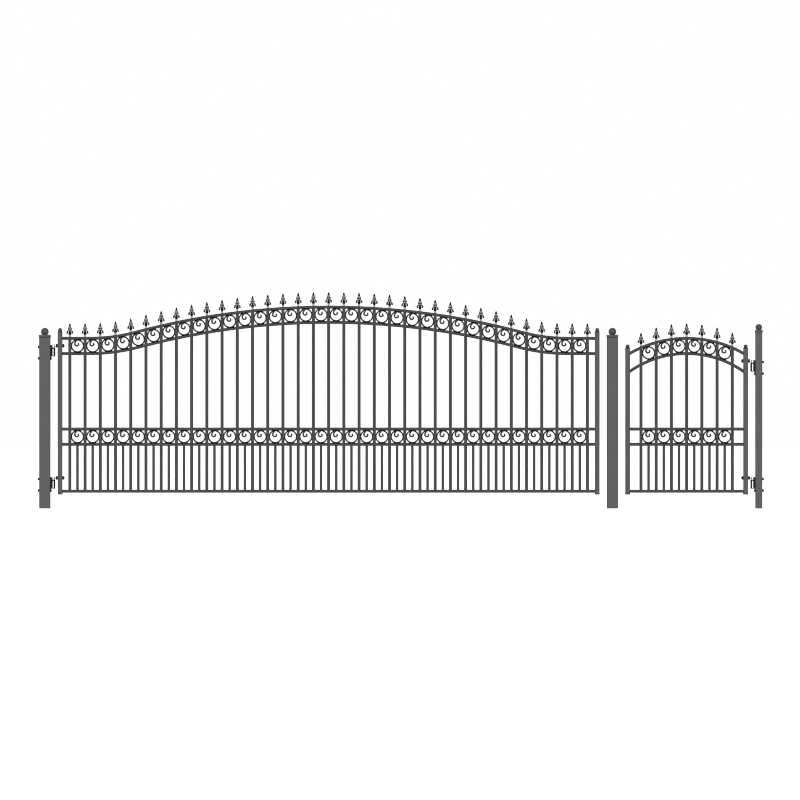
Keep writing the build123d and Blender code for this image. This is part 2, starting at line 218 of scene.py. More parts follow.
class EffectShelf:
    """The shared node groups, each built when a finish first asks for it."""

    def __init__(self) -> None:
        """Start with an empty shelf."""
        self.groups: dict[Effect, bpy.types.NodeTree] = {}

    def get(self, effect: Effect) -> bpy.types.NodeTree:
        """Give the node group of an effect.

        Args:
            effect: The effect.

        Returns:
            Its node group.
        """
        if effect not in self.groups:
            self.groups[effect] = {
                Effect.MOTTLE: self.mottle,
                Effect.GRAIN: self.grain,
                Effect.WEAR: self.wear,
                Effect.DUST: self.dust,
            }[effect]()
        return self.groups[effect]

    def start(
        self, effect: Effect, inputs: dict[str, float], outputs: Iterable[str]
    ) -> tuple[NodeBoard, bpy.types.Node, bpy.types.Node]:
        """Open a node group with its sockets, all plain numbers.

        Args:
            effect: The effect that the group is for.
            inputs: Name and default of each input.
            outputs: Name of each output.

        Returns:
            The board, the group's input node and its output node.
        """
        tree = bpy.data.node_groups.new(effect.value, "ShaderNodeTree")
        board = NodeBoard(tree)
        for name, value in inputs.items():
            socket = tree.interface.new_socket(name=name, in_out="INPUT", socket_type="NodeSocketFloat")
            socket.default_value = value
        for name in outputs:
            tree.interface.new_socket(name=name, in_out="OUTPUT", socket_type="NodeSocketFloat")
        return board, board.node("NodeGroupInput"), board.node("NodeGroupOutput")

    def mottle(self) -> bpy.types.NodeTree:
        """Build broad and fine variation of a coat's colour, as one factor about 1.

        Returns:
            The node group.
        """
        board, given, out = self.start(
            Effect.MOTTLE, {"Broad Scale": 3.0, "Fine Scale": 120.0, "Amount": 0.12}, ("Factor", "Patches")
        )
        place = board.node("TexCoord").outputs["Object"]
        broad = board.noise(place, given.outputs["Broad Scale"], 2.0)
        fine = board.noise(place, given.outputs["Fine Scale"], 4.0, 0.65)
        both = board.math("ADD", board.math("MULTIPLY", broad, 0.6), board.math("MULTIPLY", fine, 0.4))
        centred = board.math("SUBTRACT", both, 0.5)
        swing = board.math("MULTIPLY", centred, board.math("MULTIPLY", given.outputs["Amount"], 4.0))
        board.feed(out.inputs["Factor"], board.math("ADD", swing, 1.0))
        board.feed(out.inputs["Patches"], board.spread(fine, 0.35, 0.7))
        return board.tree

    def grain(self) -> bpy.types.NodeTree:
        """Build the height of a coat's surface: orange peel with a few pits.

        Returns:
            The node group.
        """
        board, given, out = self.start(Effect.GRAIN, {"Scale": 900.0, "Pits": 0.3}, ("Height",))
        place = board.node("TexCoord").outputs["Object"]
        peel = board.noise(place, given.outputs["Scale"], 2.0, 0.5)
        pit_scale = board.math("MULTIPLY", given.outputs["Scale"], 0.35)
        cells = board.node("TexVoronoi", {"feature": "F1"}, Vector=place, Scale=pit_scale)
        pit = board.spread(cells.outputs["Distance"], 0.0, 0.22)
        depth = board.math("MULTIPLY", board.math("SUBTRACT", 1.0, pit), given.outputs["Pits"])
        board.feed(out.inputs["Height"], board.math("SUBTRACT", peel, depth))
        return board.tree

    def wear(self) -> bpy.types.NodeTree:
        """Build a mask of the edges where a coat is rubbed.

        Returns:
            The node group.
        """
        board, given, out = self.start(
            Effect.WEAR, {"Radius": 0.003, "Amount": 0.5, "Break Scale": 90.0}, ("Mask",)
        )
        place = board.node("TexCoord").outputs["Object"]
        rounded = board.node("Bevel", {"samples": 4}, Radius=given.outputs["Radius"]).outputs[0]
        flat = board.node("NewGeometry").outputs["Normal"]
        along = board.node("VectorMath", {"operation": "DOT_PRODUCT"}, i0=rounded, i1=flat).outputs["Value"]
        edge = board.spread(along, 0.99, 0.82)
        broken = board.spread(board.noise(place, given.outputs["Break Scale"], 4.0, 0.7), 0.42, 0.68)
        mask = board.math("MULTIPLY", board.math("MULTIPLY", edge, broken), given.outputs["Amount"], clamp=True)
        board.feed(out.inputs["Mask"], mask)
        return board.tree

    def dust(self) -> bpy.types.NodeTree:
        """Build a mask of dust on faces that look up, more of it near the ground.

        Returns:
            The node group.
        """
        board, given, out = self.start(Effect.DUST, {"Amount": 0.3, "Splash Height": 0.35}, ("Mask",))
        place = board.node("TexCoord").outputs["Object"]
        level = board.node("SeparateXYZ", None, i0=place).outputs["Z"]
        facing = board.node("SeparateXYZ", None, i0=board.node("NewGeometry").outputs["Normal"]).outputs["Z"]
        patches = board.spread(board.noise(place, 26.0, 4.0), 0.3, 0.7)
        lying = board.math("MULTIPLY", board.spread(facing, 0.35, 0.95), patches)
        risen = board.math("DIVIDE", level, given.outputs["Splash Height"])
        splash = board.math("SUBTRACT", 1.0, risen, clamp=True)
        spots = board.math("MULTIPLY", board.spread(board.noise(place, 75.0, 5.0, 0.7), 0.45, 0.75), splash)
        both = board.math("MAXIMUM", lying, board.math("MULTIPLY", spots, 0.6))
        board.feed(out.inputs["Mask"], board.math("MULTIPLY", both, given.outputs["Amount"], clamp=True))
        return board.tree


@dataclass(frozen=True)
class Finish:
    """What every finish of the gate has: its name, colour and how its surface catches light."""

    name: str
    slot: str
    colour: tuple[float, float, float]
    roughness: tuple[float, float] = (0.4, 0.55)

    def material(self, shelf: EffectShelf) -> bpy.types.Material:
        """Make the material.

        Args:
            shelf: The shared effects.

        Returns:
            The new material.
        """
        made = bpy.data.materials.new(self.name)
        made.use_nodes = True
        board = NodeBoard(made.node_tree)
        shader = board.node("BsdfPrincipled")
        out = board.node("OutputMaterial", None, Surface=shader.outputs[0])
        out.is_active_output = True
        self.dress(board, shader, shelf)
        return made

    def dulled(self, board: NodeBoard, mottle: bpy.types.Node) -> bpy.types.NodeSocket:
        """Give the roughness, from its smooth value to its dull one over the mottle's patches."""
        return board.spread(mottle.outputs["Patches"], 0.0, 1.0, *self.roughness)

    def bump(
        self, board: NodeBoard, shader: bpy.types.Node, grain: bpy.types.Node, strength: float, depth: float
    ) -> None:
        """Feed the shader's normal with a grain.

        Args:
            board: The material's nodes.
            shader: Its Principled shader.
            grain: The grain's node.
            strength: How strongly it shows.
            depth: Its depth.
        """
        made = board.node("Bump", None, Strength=strength, Distance=depth, Height=grain.outputs[0])
        board.feed(shader.inputs["Normal"], made.outputs[0])

    def dress(self, board: NodeBoard, shader: bpy.types.Node, shelf: EffectShelf) -> None:
        """Feed the shader. Each finish has its own way.

        Args:
            board: The material's nodes.
            shader: Its Principled shader.
            shelf: The shared effects.
        """
        raise NotImplementedError


@dataclass(frozen=True)
class PowderCoat(Finish):
    """Baked powder coat: an even satin colour with orange peel, lighter rubbed edges and a little dust."""

    specular: float = 0.4
    edge_colour: tuple[float, float, float] = (0.2, 0.2, 0.205)
    dust_colour: tuple[float, float, float] = (0.3, 0.285, 0.26)
    mottle: float = 0.1
    wear: float = 0.45
    wear_radius: float = 0.0025
    dust: float = 0.2
    grain_scale: float = 900.0
    pits: float = 0.15
    peel: float = 0.00012

    def dress(self, board: NodeBoard, shader: bpy.types.Node, shelf: EffectShelf) -> None:
        """Feed the shader with the coat's colour, its roughness and its peel.

        Args:
            board: The material's nodes.
            shader: Its Principled shader.
            shelf: The shared effects.
        """
        mottle = board.group(shelf.get(Effect.MOTTLE), Amount=self.mottle)
        wear = board.group(shelf.get(Effect.WEAR), Radius=self.wear_radius, Amount=self.wear)
        dust = board.group(shelf.get(Effect.DUST), Amount=self.dust)
        grain = board.group(shelf.get(Effect.GRAIN), Scale=self.grain_scale, Pits=self.pits)
        coat = board.blend(1.0, self.colour, board.grey(mottle.outputs[0]), "MULTIPLY")
        rubbed = board.blend(wear.outputs[0], coat, self.edge_colour)
        board.feed(shader.inputs["Base Color"], board.blend(dust.outputs[0], rubbed, self.dust_colour))
        dusted = board.math("MULTIPLY", dust.outputs[0], 0.5)
        rough = board.math("ADD", self.dulled(board, mottle), dusted, clamp=True)
        board.feed(shader.inputs["Roughness"], rough)
        self.bump(board, shader, grain, 0.6, self.peel)
        shader.inputs["Specular IOR Level"].default_value = self.specular


@dataclass(frozen=True)
class CastPaint(PowderCoat):
    """Glossier paint over rough sand-cast iron: the same coat with a coarser grain under it."""

    grain_scale: float = 420.0
    pits: float = 0.5
    peel: float = 0.0003


@dataclass(frozen=True)
class ZincPlate(Finish):
    """Bare or plated steel with a faint spangle and dull patches."""

    dust_colour: tuple[float, float, float] = (0.34, 0.33, 0.31)

    def dress(self, board: NodeBoard, shader: bpy.types.Node, shelf: EffectShelf) -> None:
        """Feed the shader with the plate's spangle, its dull patches, a fine grain and dust.

        Args:
            board: The material's nodes.
            shader: Its Principled shader.
            shelf: The shared effects.
        """
        mottle = board.group(shelf.get(Effect.MOTTLE), Broad_Scale=14.0, Fine_Scale=210.0, Amount=0.2)
        grain = board.group(shelf.get(Effect.GRAIN), Scale=1500.0, Pits=0.1)
        dust = board.group(shelf.get(Effect.DUST), Amount=0.25)
        place = board.node("TexCoord").outputs["Object"]
        cells = board.node("TexVoronoi", {"feature": "F1"}, Vector=place, Scale=260.0)
        chance = board.node("SeparateColor", None, i0=cells.outputs["Color"]).outputs[0]
        spangle = board.spread(chance, 0.0, 1.0, 0.88, 1.08)
        tone = board.grey(board.math("MULTIPLY", mottle.outputs[0], spangle))
        plate = board.blend(1.0, self.colour, tone, "MULTIPLY")
        board.feed(shader.inputs["Base Color"], board.blend(dust.outputs[0], plate, self.dust_colour))
        board.feed(shader.inputs["Roughness"], self.dulled(board, mottle))
        board.feed(shader.inputs["Metallic"], board.spread(mottle.outputs["Patches"], 0.0, 1.0, 0.95, 0.6))
        self.bump(board, shader, grain, 0.5, 0.00008)


@dataclass(frozen=True)
class MouldedFoot(Finish):
    """Matte black plastic with a fine spark-eroded texture."""

    edge_colour: tuple[float, float, float] = (0.07, 0.07, 0.07)
    dust_colour: tuple[float, float, float] = (0.25, 0.24, 0.22)

    def dress(self, board: NodeBoard, shader: bpy.types.Node, shelf: EffectShelf) -> None:
        """Feed the shader with the plastic's texture, scuffs and splashed dust.

        Args:
            board: The material's nodes.
            shader: Its Principled shader.
            shelf: The shared effects.
        """
        mottle = board.group(shelf.get(Effect.MOTTLE), Broad_Scale=30.0, Fine_Scale=300.0, Amount=0.15)
        wear = board.group(shelf.get(Effect.WEAR), Radius=0.002, Amount=0.5)
        dust = board.group(shelf.get(Effect.DUST), Amount=0.35, Splash_Height=0.3)
        grain = board.group(shelf.get(Effect.GRAIN), Scale=2200.0, Pits=0.4)
        plastic = board.blend(1.0, self.colour, board.grey(mottle.outputs[0]), "MULTIPLY")
        rubbed = board.blend(wear.outputs[0], plastic, self.edge_colour)
        board.feed(shader.inputs["Base Color"], board.blend(dust.outputs[0], rubbed, self.dust_colour))
        board.feed(shader.inputs["Roughness"], self.dulled(board, mottle))
        self.bump(board, shader, grain, 0.7, 0.0001)


class FinishRack:
    """Every finish of the gate, with its material made once."""

    SMALL_WEAR = 0.0012  # how far the rubbed edge of a small part reaches, in metres

    POST = PowderCoat("post_powder_coat", "post_paint", (0.0745, 0.0745, 0.0768), specular=0.25, wear_radius=0.004)
    CAP = PowderCoat("cap_powder_coat", "post_paint", (0.059, 0.059, 0.0608), specular=0.25)
    LEAF = PowderCoat("leaf_powder_coat", "leaf_paint", (0.064, 0.064, 0.066), specular=0.25)
    FINIAL = PowderCoat("finial_powder_coat", "leaf_paint", (0.048, 0.048, 0.0495), specular=0.25)
    PICKET = PowderCoat("picket_powder_coat", "leaf_paint", (0.034, 0.034, 0.035), specular=0.2)
    # Light grey of the spear sockets: painted highlight, where the tapered sockets catch the top light.
    SOCKET_HIGHLIGHT = PowderCoat(
        "spear_socket_painted_highlight", "leaf_paint", (0.31, 0.31, 0.315), specular=0.4, edge_colour=(0.2, 0.2, 0.2)
    )
    # Near-black paint of the weld saddles where rings touch tubes: painted shade at the contacts, darker than the
    # rings themselves.
    RING_WELD_SHADE = PowderCoat(
        "ring_weld_painted_shade", "ring_paint", (0.005, 0.005, 0.0052), (0.5, 0.62),
        specular=0.05, edge_colour=(0.05, 0.05, 0.052), wear_radius=SMALL_WEAR, dust=0.12,
    )
    SCROLL = PowderCoat(
        "scroll_powder_coat", "ring_paint", (0.043, 0.043, 0.0442), (0.5, 0.62),
        specular=0.12, edge_colour=(0.06, 0.06, 0.062), wear_radius=SMALL_WEAR, dust=0.12,
    )
    # Near-black paint of the spear points; on the band, the bulbs and the front and back arms it is painted shade
    # under the skirts.
    POINT_AND_SHADE = CastPaint(
        "spear_point_paint_and_painted_shade", "spear_paint", (0.005, 0.005, 0.0053), (0.35, 0.5),
        specular=0.05, edge_colour=(0.06, 0.06, 0.062), wear_radius=SMALL_WEAR, dust=0.05,
    )
    BARB = CastPaint(
        "spear_barb_paint", "spear_paint", (0.032, 0.032, 0.033), (0.35, 0.5),
        specular=0.2, edge_colour=(0.11, 0.11, 0.112), wear_radius=SMALL_WEAR, dust=0.1,
    )
    # Light grey of the spear skirts: painted highlight, where the upward faces of the black cast heads catch the top
    # light.
    SPEAR_HIGHLIGHT = CastPaint(
        "spear_skirt_painted_highlight", "spear_paint", (0.225, 0.225, 0.227), (0.3, 0.45),
        specular=0.4, edge_colour=(0.16, 0.16, 0.162), wear_radius=SMALL_WEAR, dust=0.15,
    )
    BRACKET = PowderCoat(
        "bracket_powder_coat", "bracket_paint", (0.009, 0.009, 0.0095), specular=0.07, edge_colour=(0.07, 0.07, 0.07)
    )
    STEEL = ZincPlate("hinge_zinc_plate", "hinge_steel", (0.5, 0.5, 0.495), (0.24, 0.4))
    BARREL = ZincPlate("hinge_barrel_steel", "hinge_steel", (0.42, 0.42, 0.42), (0.26, 0.36))
    FOOT = MouldedFoot("stile_foot_plastic", "foot_plastic", (0.012, 0.012, 0.012), (0.55, 0.75))

    def __init__(self) -> None:
        """Start with no material made."""
        self.shelf = EffectShelf()
        self.made: dict[str, bpy.types.Material] = {}

    def get(self, finish: Finish) -> bpy.types.Material:
        """Give the material of a finish.

        Args:
            finish: The finish.

        Returns:
            Its material, made on first use.
        """
        if finish.name not in self.made:
            self.made[finish.name] = finish.material(self.shelf)
        return self.made[finish.name]


# --------------------------------------------------------------------------- shaping


def along_gate(x: float, z: float, flip: bool = False) -> Matrix:
    """Place a shape that was made about +Z so that it points along the gate.

    Args:
        x: Position along the gate.
        z: Height.
        flip: Whether it points towards -X instead of +X.

    Returns:
        The matrix of the place.
    """
    place = Matrix.Translation((x, 0, z)) @ Matrix.Rotation(pi / 2, 4, "Y")
    return place @ Matrix.Rotation(pi, 4, "X") if flip else place


def station(x: float, z: float, heading: float, width: float = 1.0, depth: float = 1.0) -> Matrix:
    """Frame of a section that a bar passes through in the gate's plane.

    Args:
        x: Position along the gate.
        z: Height.
        heading: Way the bar goes, in radians from +X towards +Z.
        width: Scale of the section in the gate's plane.
        depth: Scale of the section across the gate.

    Returns:
        The frame's matrix: +Z along the bar and +Y across the gate.
    """
    turn = Matrix.Rotation(pi / 2 - heading, 4, "Y")
    return Matrix.Translation((x, 0, z)) @ turn @ Matrix.Diagonal((width, depth, 1.0, 1.0))


def level_section(z: float, size: float) -> Matrix:
    """Frame of a level section at height z, size times as large as the one that was laid."""
    return Matrix.Translation((0, 0, z)) @ Matrix.Diagonal((size, size, 1, 1))


def collar(bore: float, outer: float, low: float, high: float, chamfer: float) -> Profile:
    """Section of a bored disc whose outer edges are chamfered.

    Args:
        bore: Radius of its hole.
        outer: Its outer radius.
        low: Height of its foot.
        high: Height of its top.
        chamfer: Size of the chamfer.

    Returns:
        Radius and height of the section's corners.
    """
    inside = outer - chamfer
    return [(bore, low), (inside, low), (outer, low + chamfer), (outer, high - chamfer), (inside, high), (bore, high)]


def quarter_round(reach: float, foot: float, rise: float, steps: int) -> Profile:
    """Section of a dome, from its widest place to its top.

    Args:
        reach: Its radius.
        foot: Height at which it starts.
        rise: Its height.
        steps: Faces from foot to top.

    Returns:
        Radius and height of the section's points.
    """
    angles = [pi / 2 * i / steps for i in range(steps)]
    return [(reach * cos(a), foot + rise * sin(a)) for a in angles] + [(0.0, foot + rise)]


def bends(
    x: float, z: float, heading: float, arcs: Iterable[tuple[float, float, int]]
) -> list[tuple[float, float, float]]:
    """Follow a bar through its bends.

    Args:
        x: Where it starts, along the gate.
        z: Height at which it starts.
        heading: Way it starts, in radians from +X towards +Z.
        arcs: Radius, turn in degrees and steps of each bend; a positive turn goes left.

    Returns:
        Position and heading at the start and after every step.
    """
    line = [(x, z, heading)]
    for radius, turn, steps in arcs:
        step = radians(turn) / steps
        side = radius if turn > 0 else -radius
        centre_x, centre_z = x - side * sin(heading), z + side * cos(heading)
        for _ in range(steps):
            heading += step
            x, z = centre_x + side * sin(heading), centre_z - side * cos(heading)
            line.append((x, z, heading))
    return line


class Bench:
    """A mesh in the making, with the operations that the gate's pieces share."""

    def __init__(self) -> None:
        """Start with an empty mesh."""
        self.bm = bmesh.new()

    def take(self, other: "Bench", place: Matrix | None = None) -> None:
        """Lay a copy of another bench's shape on this one.

        Args:
            other: The bench to copy.
            place: Where the copy goes.
        """
        mesh = bpy.data.meshes.new("pattern")
        other.bm.to_mesh(mesh)
        first = len(self.bm.verts)
        self.bm.from_mesh(mesh)
        bpy.data.meshes.remove(mesh)
        self.bm.verts.ensure_lookup_table()
        if place is not None:
            bmesh.ops.transform(self.bm, matrix=place, verts=self.bm.verts[first:])

    def round_off(self, geom: list, corner: float, steps: int, affect: str = "EDGES") -> None:
        """Round edges or corners evenly.

        Args:
            geom: The edges, or the vertices, that are rounded.
            corner: Radius.
            steps: Faces across each rounded edge.
            affect: EDGES or VERTICES.
        """
        bmesh.ops.bevel(
            self.bm, geom=geom, offset=corner, offset_type="OFFSET", segments=steps, profile=0.5, material=-1,
            affect=affect,
        )

    def tube(
        self, low: Sequence[float], high: Sequence[float], corner: float, along: str = "Z", steps: int = 3
    ) -> Verts:
        """Make a square tube whose long edges are rounded.

        Args:
            low: Lowest corner.
            high: Highest corner.
            corner: Radius of the long edges.
            along: Axis of the long edges.
            steps: Faces in each rounded edge.

        Returns:
            The tube's vertices.
        """
        part = Bench()
        bmesh.ops.create_cube(part.bm, size=1.0)
        size, middle = Vector(high) - Vector(low), (Vector(high) + Vector(low)) / 2
        bmesh.ops.scale(part.bm, vec=size, verts=part.bm.verts)
        bmesh.ops.translate(part.bm, vec=middle, verts=part.bm.verts)
        axis = "XYZ".index(along)
        edges = [e for e in part.bm.edges if abs(e.verts[0].co[axis] - e.verts[1].co[axis]) > SAME_PLACE]
        part.round_off(edges, corner, steps)
        first = len(self.bm.verts)
        self.take(part)
        return self.bm.verts[first:]

    def soften(self, corner: float, sharper: float = 50.0, steps: int = 2) -> None:
        """Round the edges that are sharper than an angle.

        Args:
            corner: Radius.
            sharper: Least angle between the faces, in degrees.
            steps: Faces in each rounded edge.
        """
        least = radians(sharper)
        edges = [e for e in self.bm.edges if len(e.link_faces) == 2 and e.calc_face_angle(0.0) > least]
        self.round_off(edges, corner, steps)

    def section(self, width: float, depth: float, corner: float, steps: int = 2) -> list[bmesh.types.BMFace]:
        """Lay a rounded rectangle across +Z, as the section of a bar.

        Args:
            width: Size along X.
            depth: Size along Y.
            corner: Radius of its corners.
            steps: Edges in each corner.

        Returns:
            Its face.
        """
        made = bmesh.ops.create_grid(self.bm, x_segments=1, y_segments=1, size=0.5)["verts"]
        bmesh.ops.scale(self.bm, vec=(width, depth, 1.0), verts=made)
        self.round_off(made, corner * CORNER_CUT, steps, "VERTICES")
        return list(self.bm.faces)

    def round_section(self, radius: float, steps: int) -> list[bmesh.types.BMFace]:
        """Lay a disc across +Z, as the section of a rod.

        Args:
            radius: The rod's radius.
            steps: Edges round it.

        Returns:
            Its face.
        """
        bmesh.ops.create_circle(self.bm, cap_ends=True, segments=steps, radius=radius)
        return list(self.bm.faces)

    def draw(self, faces: list[bmesh.types.BMFace], stations: Sequence[Matrix]) -> None:
        """Draw a section through a row of stations, as a bar with closed ends.

        Args:
            faces: The section, lying across +Z at the origin.
            stations: Frames that it passes through.
        """
        verts = list({v for f in faces for v in f.verts})
        bmesh.ops.transform(self.bm, matrix=stations[0], verts=verts)
        for here, after in zip(stations, stations[1:]):
            made = bmesh.ops.extrude_face_region(self.bm, geom=faces)["geom"]
            inside = [f for f in faces if all(len(e.link_faces) > 2 for e in f.edges)]
            bmesh.ops.delete(self.bm, geom=inside, context="FACES_ONLY")
            faces = [g for g in made if isinstance(g, bmesh.types.BMFace)]
            verts = [g for g in made if isinstance(g, bmesh.types.BMVert)]
            bmesh.ops.transform(self.bm, matrix=after @ here.inverted(), verts=verts)
        bmesh.ops.recalc_face_normals(self.bm, faces=self.bm.faces)

    def spin(self, profile: Sequence[tuple[float, float]], steps: int, closed: bool = False) -> None:
        """Turn a profile about +Z.

        Args:
            profile: Radius and height of its points.
            steps: Faces round the turned shape.
            closed: Whether the profile is a loop, as for a bored shape.
        """
        verts = [self.bm.verts.new((radius, 0.0, height)) for radius, height in profile]
        pairs = list(zip(verts, verts[1:])) + ([(verts[-1], verts[0])] if closed else [])
        edges = [self.bm.edges.new(pair) for pair in pairs]
        self.revolve(verts + edges, (0, 0, 1), steps)

    def revolve(self, geom: list, axis: tuple[int, int, int], steps: int) -> None:
        """Turn an outline once round an axis through the origin, and close the shape.

        Args:
            geom: The outline's vertices and edges.
            axis: The axis.
            steps: Faces round the turned shape.
        """
        bmesh.ops.spin(
            self.bm, geom=geom, cent=(0, 0, 0), axis=axis, dvec=(0, 0, 0), angle=2 * pi, steps=steps, use_merge=True
        )
        self.close()

    def close(self) -> None:
        """Merge doubled vertices and turn every face outwards."""
        bmesh.ops.remove_doubles(self.bm, verts=self.bm.verts, dist=1e-6)
        bmesh.ops.recalc_face_normals(self.bm, faces=self.bm.faces)

    def nut(self, across: float, height: float, bore: float = 0.0) -> None:
        """Make a hexagon nut with chamfered corners, standing on +Z.

        Args:
            across: Size across its flats.
            height: Its thickness.
            bore: Radius of its hole, or 0 where it is capped.
        """
        corner = across / sqrt(3)
        faces = self.round_section(corner, 6)
        made = bmesh.ops.extrude_face_region(self.bm, geom=faces)["geom"]
        top = [g for g in made if isinstance(g, bmesh.types.BMVert)]
        bmesh.ops.translate(self.bm, vec=(0, 0, height), verts=top)
        bmesh.ops.recalc_face_normals(self.bm, faces=self.bm.faces)
        rims = [e for e in self.bm.edges if abs(e.verts[0].co.z - e.verts[1].co.z) < SAME_PLACE]
        self.round_off(rims, height * 0.1, 2)
        if bore:
            ends = [f for f in self.bm.faces if abs(f.normal.z) > 0.99]
            bmesh.ops.inset_individual(self.bm, faces=ends, thickness=(across - 2 * bore) * 0.35)

    def bead(self, length: float, width: float, place: Matrix) -> None:
        """Lay one weld bead along the place's +X.

        Args:
            length: Its length.
            width: Its width and height.
            place: Where its middle goes.
        """
        part = Bench()
        bmesh.ops.create_uvsphere(part.bm, u_segments=8, v_segments=4, radius=0.5)
        bmesh.ops.rotate(part.bm, cent=(0, 0, 0), matrix=Matrix.Rotation(pi / 2, 3, "Y"), verts=part.bm.verts)
        bmesh.ops.scale(part.bm, vec=(length, width, width), verts=part.bm.verts)
        self.take(part, place)


@dataclass
class Workshop:
    """Where finished pieces are handed over: each gets its material, its body and the nodes that it replaces."""

    rack: FinishRack
    pieces: list[bpy.types.Object] = field(default_factory=list)

    def hand_over(
        self, bench: Bench, name: str, finish: Finish, body: Body, *nodes: str, smooth: float = 40.0
    ) -> None:
        """Make an object of a bench's mesh, finish it and report it.

        Args:
            bench: The finished shape.
            name: The piece's name.
            finish: Its finish.
            body: The body that it rides on.
            *nodes: CAD nodes that it stands for.
            smooth: Edges up to this angle, in degrees, are shaded smooth.
        """
        mesh = bpy.data.meshes.new(name)
        bench.bm.to_mesh(mesh)
        bench.bm.free()
        mesh.materials.append(self.rack.get(finish))
        mesh.shade_smooth()
        mesh.set_sharp_from_angle(angle=radians(smooth))
        piece = bpy.data.objects.new(name, mesh)
        bpy.context.scene.collection.objects.link(piece)
        weighted = piece.modifiers.new("even_flats", "WEIGHTED_NORMAL")
        weighted.keep_sharp = True
        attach(piece, body.value)
        if nodes:
            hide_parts(*nodes)
        mesh.calc_loop_triangles()
        log.info("%s: %d triangles, %s", name, len(mesh.loop_triangles), finish.name)
        self.pieces.append(piece)

    def hand_over_leaf(
        self, bench: Bench, plan: "LeafPlan", piece: str, finish: Finish, node: str = "", smooth: float = 40.0
    ) -> None:
        """Hand over a piece of a leaf, with the leaf's name before the piece's and the node's.

        Args:
            bench: The finished shape.
            plan: The leaf that it belongs to.
            piece: The piece's name within the leaf.
            finish: Its finish.
            node: CAD node that it stands for within the leaf, or empty where there is none.
            smooth: Edges up to this angle, in degrees, are shaded smooth.
        """
        nodes = (f"{plan.name}_{node}",) if node else ()
        self.hand_over(bench, f"{plan.name}_{piece}", finish, plan.body, *nodes, smooth=smooth)


# --------------------------------------------------------------------------- the gate's lines


@dataclass(frozen=True)
class BandLine:
    """Middle line of a ring band, level in this plain form."""

    level: float

    def height(self, x: float, offset: float = 0.0) -> float:
        """Height at x of the line that runs parallel to this one, offset above it."""
        return self.level + offset

    def tilt(self, x: float) -> float:
        """Angle of the line at x, in radians."""
        return atan((self.height(x + TILT_STEP) - self.height(x - TILT_STEP)) / (2 * TILT_STEP))


@dataclass(frozen=True)
class BellLine(BandLine):
    """Line with level shoulders, concave flanks and a convex crown."""

    middle: float = 2.554
    run: float = 2.155
    rise: float = 0.281
    flank: float = 1.69

    def height(self, x: float, offset: float = 0.0) -> float:
        """Height at x of the line that runs parallel to this one, offset above it.

        Args:
            x: Position along the gate.
            offset: How far the parallel line lies above this one.

        Returns:
            The height.
        """
        turn = 2 * atan(self.rise / self.run)
        crown = self.run / sin(turn) - self.flank
        from_mid = abs(x - self.middle)
        along = self.run - from_mid
        if along <= 0:
            return self.level + offset
        if along <= (self.flank - offset) * sin(turn):
            return self.level + self.flank - sqrt((self.flank - offset) ** 2 - along**2)
        return self.level + self.rise - crown + sqrt((crown + offset) ** 2 - from_mid**2)


@dataclass(frozen=True)
class ArchLine(BandLine):
    """Line that is one arc."""

    middle: float = 5.776
    radius: float = 0.965

    def height(self, x: float, offset: float = 0.0) -> float:
        """Height at x of the arc that is concentric with this one, offset above it."""
        return self.level - self.radius + sqrt((self.radius + offset) ** 2 - (x - self.middle) ** 2)


@dataclass(frozen=True)
class LeafPlan:
    """Where the parts of one leaf stand.

    stile is the width of the bare tube, from which the rails start, and stile_coated its width as drawn.
    """

    name: str
    body: Body
    curve: str
    hinge_x: float
    latch_x: float
    first_picket: float
    pickets: int
    top_line: BandLine
    stile_top: float
    axis_x: float
    rod_levels: tuple[float, float]
    mid_line: BandLine = BandLine(0.6455)
    pitch: float = 0.137
    half_band: float = 0.0685
    stile: float = 0.04
    stile_coated: float = 0.042
    rail: float = 0.025
    rail_depth: float = 0.03
    bottom: float = 0.155

    @property
    def columns(self) -> list[float]:
        """Middles of the full-height pickets."""
        return [self.first_picket + i * self.pitch for i in range(self.pickets)]

    @property
    def bays(self) -> list[float]:
        """Middles of the bays between them."""
        return [x + self.pitch / 2 for x in self.columns[:-1]]

    @property
    def picket_foot(self) -> float:
        """Height at which the pickets stand on the bottom rail."""
        return self.bottom + self.rail / 2

    @property
    def crest(self) -> float:
        """Offset of the upper top rail's upper face from the line of the top band."""
        return self.half_band + self.rail / 2

    @property
    def faces(self) -> tuple[float, float]:
        """Inner faces of the two stiles, from left to right."""
        left, right = sorted((self.hinge_x, self.latch_x))
        return left + self.stile / 2, right - self.stile / 2

    @property
    def toward(self) -> int:
        """Side of the hinge axis on which the leaf lies: 1 for +X."""
        return 1 if self.hinge_x > self.axis_x else -1


DRIVE = LeafPlan(
    "drive", Body.DRIVE_LEAF, "bell", 0.137, 4.971, 0.225, 35, BellLine(1.462), 1.585, 0.075, (0.2745, 1.464)
)
SIDE = LeafPlan(
    "side", Body.SIDE_LEAF, "arch", 6.307, 5.245, 5.365, 7, ArchLine(1.462), 1.437, 6.369, (0.2745, 1.3275)
)


# --------------------------------------------------------------------------- posts


